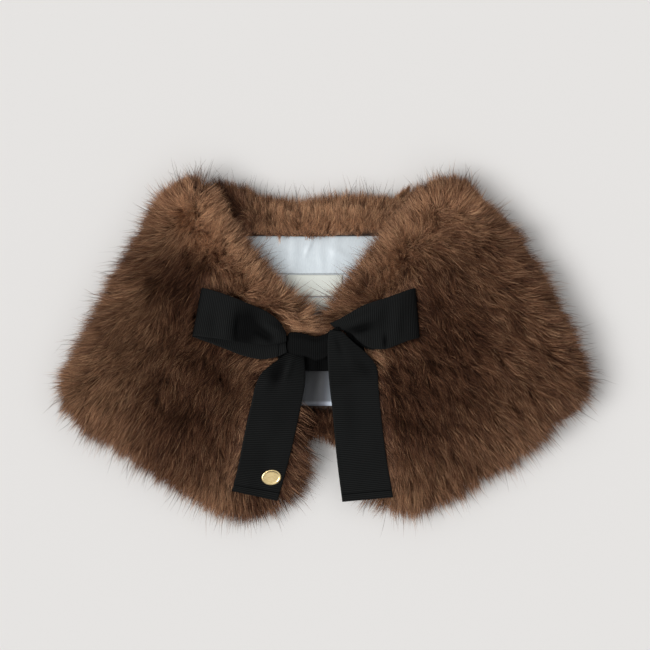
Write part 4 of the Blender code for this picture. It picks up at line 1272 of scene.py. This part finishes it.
def add_back(node, seed):
    growth = Growth(back_flow, back_reach, back_edges, BACK_SPACING, BACK_LOCK)
    pile, fleece = add_fleece(node, BACK_PILE, HEM_TONES + FACING_TONES, growth, seed, skin_down=False)
    skin = add_skin(node, BACK, BACK_MARGIN, up=True)
    guard = add_coat(node + "_guard", fleece, BACK_COAT, seed + 1, BACK_TONE, keep_window=False)
    return skin, [pile, guard]


# Ribbons


def bed_over(nodes, fall_x, fall_y):
    """The height that a ribbon takes over the nodes, for each cell of the plan, as in the CAD model."""
    tree = tree_of(nodes)
    cells = over(BED, lambda x, y: height_at(tree, x, y), PLAN)
    for _ in range(BED_WIDER):
        cells = np.maximum.reduce([cells] + neighbours(cells, 0.0))
    for axis, fall in ((1, fall_x), (0, fall_y)):
        rows = np.moveaxis(cells, axis, 0)
        for before, at in zip(range(len(rows) - 1), range(1, len(rows))):
            rows[at] = np.maximum(rows[at], rows[before] - fall * BED.size)
            rows[-1 - at] = np.maximum(rows[-1 - at], rows[-1 - before] - fall * BED.size)
    for _ in range(BED_SMOOTHER):
        edge = np.pad(cells, 1, mode="edge")
        cells = (cells + sum(neighbours(edge, 0.0))[1:-1, 1:-1]) / 9
    return cells


def read_bed(bed, x, y):
    u = np.clip((x - BED.x) / BED.size, 0, BED.columns - 1.001)
    v = np.clip((y - BED.y) / BED.size, 0, BED.rows - 1.001)
    i, j = u.astype(int), v.astype(int)
    u, v = u - i, v - j
    low = bed[j, i] * (1 - u) + bed[j, i + 1] * u
    high = bed[j + 1, i] * (1 - u) + bed[j + 1, i + 1] * u
    return low * (1 - v) + high * v


def ridges(points, folds):
    """How far folds lift the cloth at points of the plan."""
    lift = np.zeros(len(points))
    for middle_x, middle_y, turn, length, width, height in folds:
        turn = np.radians(turn)
        x, y = points[:, 0] - middle_x, points[:, 1] - middle_y
        along = (x * np.cos(turn) + y * np.sin(turn)) / (length / 2)
        across = (y * np.cos(turn) - x * np.sin(turn)) / (width / 2)
        lift += height * np.exp(-(along**2) * FOLD_ENDS - across**2)
    return lift


START_ROWS = 20  # of a ribbon, which face up


def ribbon_middle(stations, bed, folds, looped):
    """A ribbon's middle surface through its stations, laid over the bed, with its folds."""
    table = np.array(stations, float)
    steps = lengths((table[:, 0:2] + table[:, 2:4]) / 2)
    counts = np.maximum(2, np.ceil(np.diff(steps) / RIBBON_STEP)).astype(int)
    index = np.concatenate([i + np.arange(n) / n for i, n in enumerate(counts)] + [[len(counts)]])
    upper = at_index(table[:, [0, 1, 4]], index)[:, None, :]
    lower = at_index(table[:, [2, 3, 4]], index)[:, None, :]
    arch = np.interp(index, np.arange(len(table)), table[:, 5])[:, None]
    across = np.linspace(0, 1, RIBBON_COLUMNS + 1)[None, :]
    middle = upper * (1 - across[:, :, None]) + lower * across[:, :, None]
    middle[:, :, 2] += read_bed(bed, middle[:, :, 0], middle[:, :, 1]) + RIBBON_GAP
    middle[:, :, 2] += arch * 4 * across * (1 - across)
    middle[:, :, :2] += PLAN
    along = lengths(middle[:, RIBBON_COLUMNS // 2])
    normal = unit(np.cross(np.gradient(middle, axis=1), np.gradient(middle, axis=0)))
    normal *= -1.0 if normal[:START_ROWS, :, 2].mean() < 0 else 1.0
    lift = ridges(middle[:, :, :2].reshape(-1, 2), folds).reshape(middle.shape[:2])
    if looped:
        lift *= 1 - between((along / along[-1])[:, None], *UPPER_LAYER)
    middle += normal * lift[:, :, None]
    return middle, along, lift


def add_ribbon(name, node, stations, bed, least_shade=0.0):
    middle, along, lift = ribbon_middle(stations, bed, FOLDS[node], node.startswith("loop"))
    width = np.linspace(0, MAP_WIDE, RIBBON_COLUMNS + 1)[None, :]
    left = (along[-1] - along) / MAP_UNIT
    uv = np.dstack([width + np.zeros((len(along), 1)), left[:, None] + 0 * width])
    mesh = shell_mesh(name, middle, RIBBON, uv)
    # Painted shade: the deeper a ribbon's dents and its shadow folds, the darker its colour, read through
    # its shade map.
    depth = -lift.ravel() - ridges(middle.reshape(-1, 3)[:, :2], SHADOWS.get(node, ()))
    add_map(mesh, "shade", np.tile(np.clip(depth / DEEPEST_FOLD, least_shade, 1.0), 2))
    return add_piece(name, mesh, GROSGRAIN, node)


def squared(wave):
    """A sine or cosine, drawn out so that the ring it makes is a little square."""
    return np.sign(wave) * np.abs(wave) ** KNOT_SQUARE


def add_knot():
    """The ribbon wound round the bow's middle, with the pleats that it is pulled into."""
    rings = at_index(np.array(KNOT), np.linspace(0, len(KNOT) - 1, KNOT_STEPS))
    middle_x, middle_y, half_width, bottom, top = (rings[:, k : k + 1] for k in range(5))
    turns = np.linspace(0, 2 * np.pi, KNOT_SIDES, endpoint=False)
    along = np.linspace(0, 1, KNOT_STEPS)[:, None]
    pleats = PLEAT_HIGH * np.sin(PLEATS * turns + PLEAT_TWIST * along) * np.sin(np.pi * along)
    y = middle_y + (half_width + pleats) * squared(np.cos(turns))
    z = (bottom + top) / 2 + ((top - bottom) / 2 + pleats) * squared(np.sin(turns))
    points = np.stack([middle_x + 0 * turns, y, z], axis=-1)
    points[..., :2] += PLAN
    points[..., 2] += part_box("knot")[0][2] / MM - points[..., 2].min()
    flat = np.vstack([points.reshape(-1, 3), points[[0, -1]].mean(axis=1)])
    uv = np.column_stack([MAP_WIDE / 2 + flat[:, 1] / MAP_UNIT, 1.0 + flat[:, 0] / MAP_UNIT])
    mesh = capped_mesh("bow_knot", flat, KNOT_SIDES, False, uv)
    # Painted shade over the whole knot.
    add_map(mesh, "shade", np.full(len(flat), KNOT_SHADE))
    return add_piece("bow_knot", mesh, GROSGRAIN, "knot")


# Lining, labels and trim

# Creases of the lining, as folds.
CREASES = (
    (-18, 101, 68, 22, 4, 1.3), (-53, 94, 20, 34, 9, 1.2), (15, 92, -30, 30, 9, 1.3),
    (-33, 94, 88, 60, 9, 0.9), (8, 96, 84, 60, 10, 0.8), (-6, 90, 95, 50, 7, 0.5),
    (-12, -40, 70, 40, 10, -0.5),
)
SATIN_THICK = 0.8
LINING_MIDDLE = 12.8  # the CAD lining's middle
EDGE_NEAR = 1.0  # points this near its upper or lower edge are on that edge
LABEL_CURL, LABEL_CURL_WIDE = 0.5, 3.0  # how a label lifts along its lower edge
LABEL_WAVE, LABEL_WAVE_SPAN = 0.15, 6.0


def add_lining(name, node, step):
    """One cut of the lining over its CAD solid's plan, with its creases."""
    low, high = (np.array(corner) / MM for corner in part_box(node))
    points, _ = node_parts(node)
    top = points[points[:, 1] > high[1] - EDGE_NEAR][:, 0]
    bottom = points[points[:, 1] < low[1] + EDGE_NEAR][:, 0]
    rows, columns = int((high[1] - low[1]) / step), int((high[0] - low[0]) / step)
    down, across = np.linspace(0, 1, rows + 1)[:, None], np.linspace(0, 1, columns + 1)[None, :]
    left = top.min() + (bottom.min() - top.min()) * down
    right = top.max() + (bottom.max() - top.max()) * down
    x = left + (right - left) * across
    y = high[1] + (low[1] - high[1]) * down + 0 * across
    lift = ridges(np.column_stack([x.ravel(), y.ravel()]), CREASES).reshape(x.shape)
    mesh = shell_mesh(name, np.dstack([x, y, LINING_MIDDLE + lift]), SATIN_THICK)
    return add_piece(name, mesh, SATIN, node)


def add_label(name, node, step):
    low, high = (np.array(corner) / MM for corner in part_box(node))
    columns, rows = int((high[0] - low[0]) / step), int((high[1] - low[1]) / step)
    x = np.linspace(low[0], high[0], columns + 1)[None, :] + np.zeros((rows + 1, 1))
    y = np.linspace(high[1], low[1], rows + 1)[:, None] + np.zeros((1, columns + 1))
    curl = LABEL_CURL * np.exp(-((y - low[1]) / LABEL_CURL_WIDE) ** 2)
    z = (low[2] + high[2]) / 2 + curl + LABEL_WAVE * np.sin(x / LABEL_WAVE_SPAN)
    mesh = shell_mesh(name, np.dstack([x, y, z]), high[2] - low[2])
    return add_piece(name, mesh, WOVEN, node)


# The trim's rings, from its middle to its rim and back below: the share of the oval, and the height.
TRIM = (
    (0.35, 1.48), (0.62, 1.42), (0.76, 1.34), (0.8, 1.55), (0.88, 1.62), (0.95, 1.4), (1.0, 0.9), (1.0, 0.3),
    (0.4, 0.3),
)
TRIM_TOP, TRIM_BOTTOM = 1.5, 0.3  # its middle's heights
TRIM_CENTRE = np.array([-54.5, -132.0]) + PLAN
TRIM_HALF = (10.0, 7.8)
TRIM_TURN = np.radians(8.0)
TRIM_SIDES = 72


def add_trim():
    """A plain oval plate with a raised border, which follows the ribbon under it."""
    tree = tree_of(["tail_left"])
    turns = np.linspace(0, 2 * np.pi, TRIM_SIDES, endpoint=False)
    oval = np.column_stack([TRIM_HALF[0] * np.cos(turns), TRIM_HALF[1] * np.sin(turns)])
    oval = oval @ np.array([[np.cos(TRIM_TURN), np.sin(TRIM_TURN)], [-np.sin(TRIM_TURN), np.cos(TRIM_TURN)]])
    points = []
    for share, height in TRIM:
        points += [(x, y, height_at(tree, x, y) + height) for x, y in TRIM_CENTRE + oval * share]
    base = height_at(tree, *TRIM_CENTRE)
    points += [(*TRIM_CENTRE, base + TRIM_TOP), (*TRIM_CENTRE, base + TRIM_BOTTOM)]
    mesh = capped_mesh("trim_oval", np.array(points), TRIM_SIDES, True)
    return add_piece("trim_oval", mesh, GOLD, "tail_trim")


# Putting it together

LEFT_PILE = Pile(4.0, 6.5, 13.0, 1.6, 1.0, 1.0, 0.9, 1.35)
RIGHT_PILE = Pile(4.0, 6.5, 13.0, 1.6, 1.0, 0.7, 1.25, 1.45)
left_skin, left_fur = add_front("front_left", LEFT, COMBS_LEFT, 1.0, LEFT_PILE, WISPS_LEFT, 11)
right_skin, right_fur = add_front("front_right", RIGHT, COMBS_RIGHT, -1.0, RIGHT_PILE, WISPS_RIGHT, 21)
facing_skin, facing_fur = add_neck_facing("neck_facing", 31)
back_skin, back_fur = add_back("back", 41)

BAND_STEP, BODY_STEP, LABEL_STEP = 1.5, 2.5, 1.5
band_lining = add_lining("lining_band_satin", "lining_band", BAND_STEP)
body_lining = add_lining("lining_body_satin", "lining_body", BODY_STEP)
main_label = add_label("label_main_tape", "label_main", LABEL_STEP)
size_label = add_label("label_size_tape", "label_size", LABEL_STEP)

FRONTS = ["front_left", "front_right"]
band_bed = bed_over(FRONTS, FALL_ALONG, FALL_ACROSS)
band = add_ribbon("bow_band", "ribbon_band", BAND, band_bed, BAND_SHADE)
left_bed = bed_over(FRONTS + ["ribbon_band"], FALL_ACROSS, FALL_ALONG)
tail_left = add_ribbon("bow_tail_left", "tail_left", TAIL_LEFT, left_bed)
loop_bed = bed_over(FRONTS + ["ribbon_band", "tail_left"], FALL_ALONG, FALL_ACROSS)
loop_left = add_ribbon("bow_loop_left", "loop_left", LOOP_LEFT, loop_bed)
loop_right = add_ribbon("bow_loop_right", "loop_right", LOOP_RIGHT, loop_bed)
right_bed = bed_over(FRONTS + ["ribbon_band", "knot"], FALL_ACROSS, FALL_ALONG)
tail_right = add_ribbon("bow_tail_right", "tail_right", TAIL_RIGHT, right_bed)
knot = add_knot()
trim = add_trim()


# Floor, light and camera

FLOOR = 3000.0  # half its width
LIGHT_FAR = 3.0  # metres


def add_floor():
    points = FLOOR * np.array([[-1.0, -1.0, 0.0], [1.0, -1.0, 0.0], [1.0, 1.0, 0.0], [-1.0, 1.0, 0.0]])
    mesh = make_mesh("floor", points, [0, 1, 2, 3], [4])
    mesh.materials.append(Look("floor_paper").finish((0.80, 0.785, 0.77), 0.95, specular=0.1))
    floor = bpy.data.objects.new("floor", mesh)
    bpy.context.scene.collection.objects.link(floor)


def add_light(name, azimuth, elevation, softness, strength):
    """A broad, even light from far away: angles in degrees, softness across its disc."""
    lamp = bpy.data.lights.new(name, "SUN")
    lamp.angle = np.radians(softness)
    lamp.energy = strength
    made = bpy.data.objects.new(name, lamp)
    turn, rise = np.radians(azimuth), np.radians(elevation)
    place = Vector((np.cos(turn) * np.cos(rise), np.sin(turn) * np.cos(rise), np.sin(rise)))
    made.location = place * LIGHT_FAR
    made.rotation_euler = (-place).to_track_quat("-Z", "Y").to_euler()
    bpy.context.scene.collection.objects.link(made)


def add_world(colour, strength):
    world = bpy.data.worlds.new("studio")
    world.use_nodes = True
    background = world.node_tree.nodes["Background"]
    background.inputs["Color"].default_value = (*colour, 1.0)
    background.inputs["Strength"].default_value = strength
    bpy.context.scene.world = world


# The camera, in metres: its height, the width of ground in the photograph's frame, the middle of that
# frame, the height where the photograph's scale holds, and the sensor.
CAMERA_HEIGHT, PHOTO_WIDTH, PHOTO_CENTRE, MID_HEIGHT = 4.0, 0.650, (-0.002, 0.02235), 0.02
SENSOR, CLIP = 36.0, 50.0


def add_camera():
    lens = bpy.data.cameras.new("camera")
    lens.sensor_width = SENSOR
    lens.lens = SENSOR * (CAMERA_HEIGHT - MID_HEIGHT) / PHOTO_WIDTH
    lens.clip_end = CLIP
    made = bpy.data.objects.new("camera", lens)
    made.location = (*PHOTO_CENTRE, CAMERA_HEIGHT)
    bpy.context.scene.collection.objects.link(made)
    bpy.context.scene.camera = made


add_floor()
add_light("key", azimuth=192.0, elevation=54.0, softness=32.0, strength=1.9)
add_light("overhead", azimuth=0.0, elevation=90.0, softness=100.0, strength=0.94)
add_world((1.0, 1.0, 1.0), strength=0.2)
add_camera()
bpy.context.scene.view_settings.view_transform = "Standard"
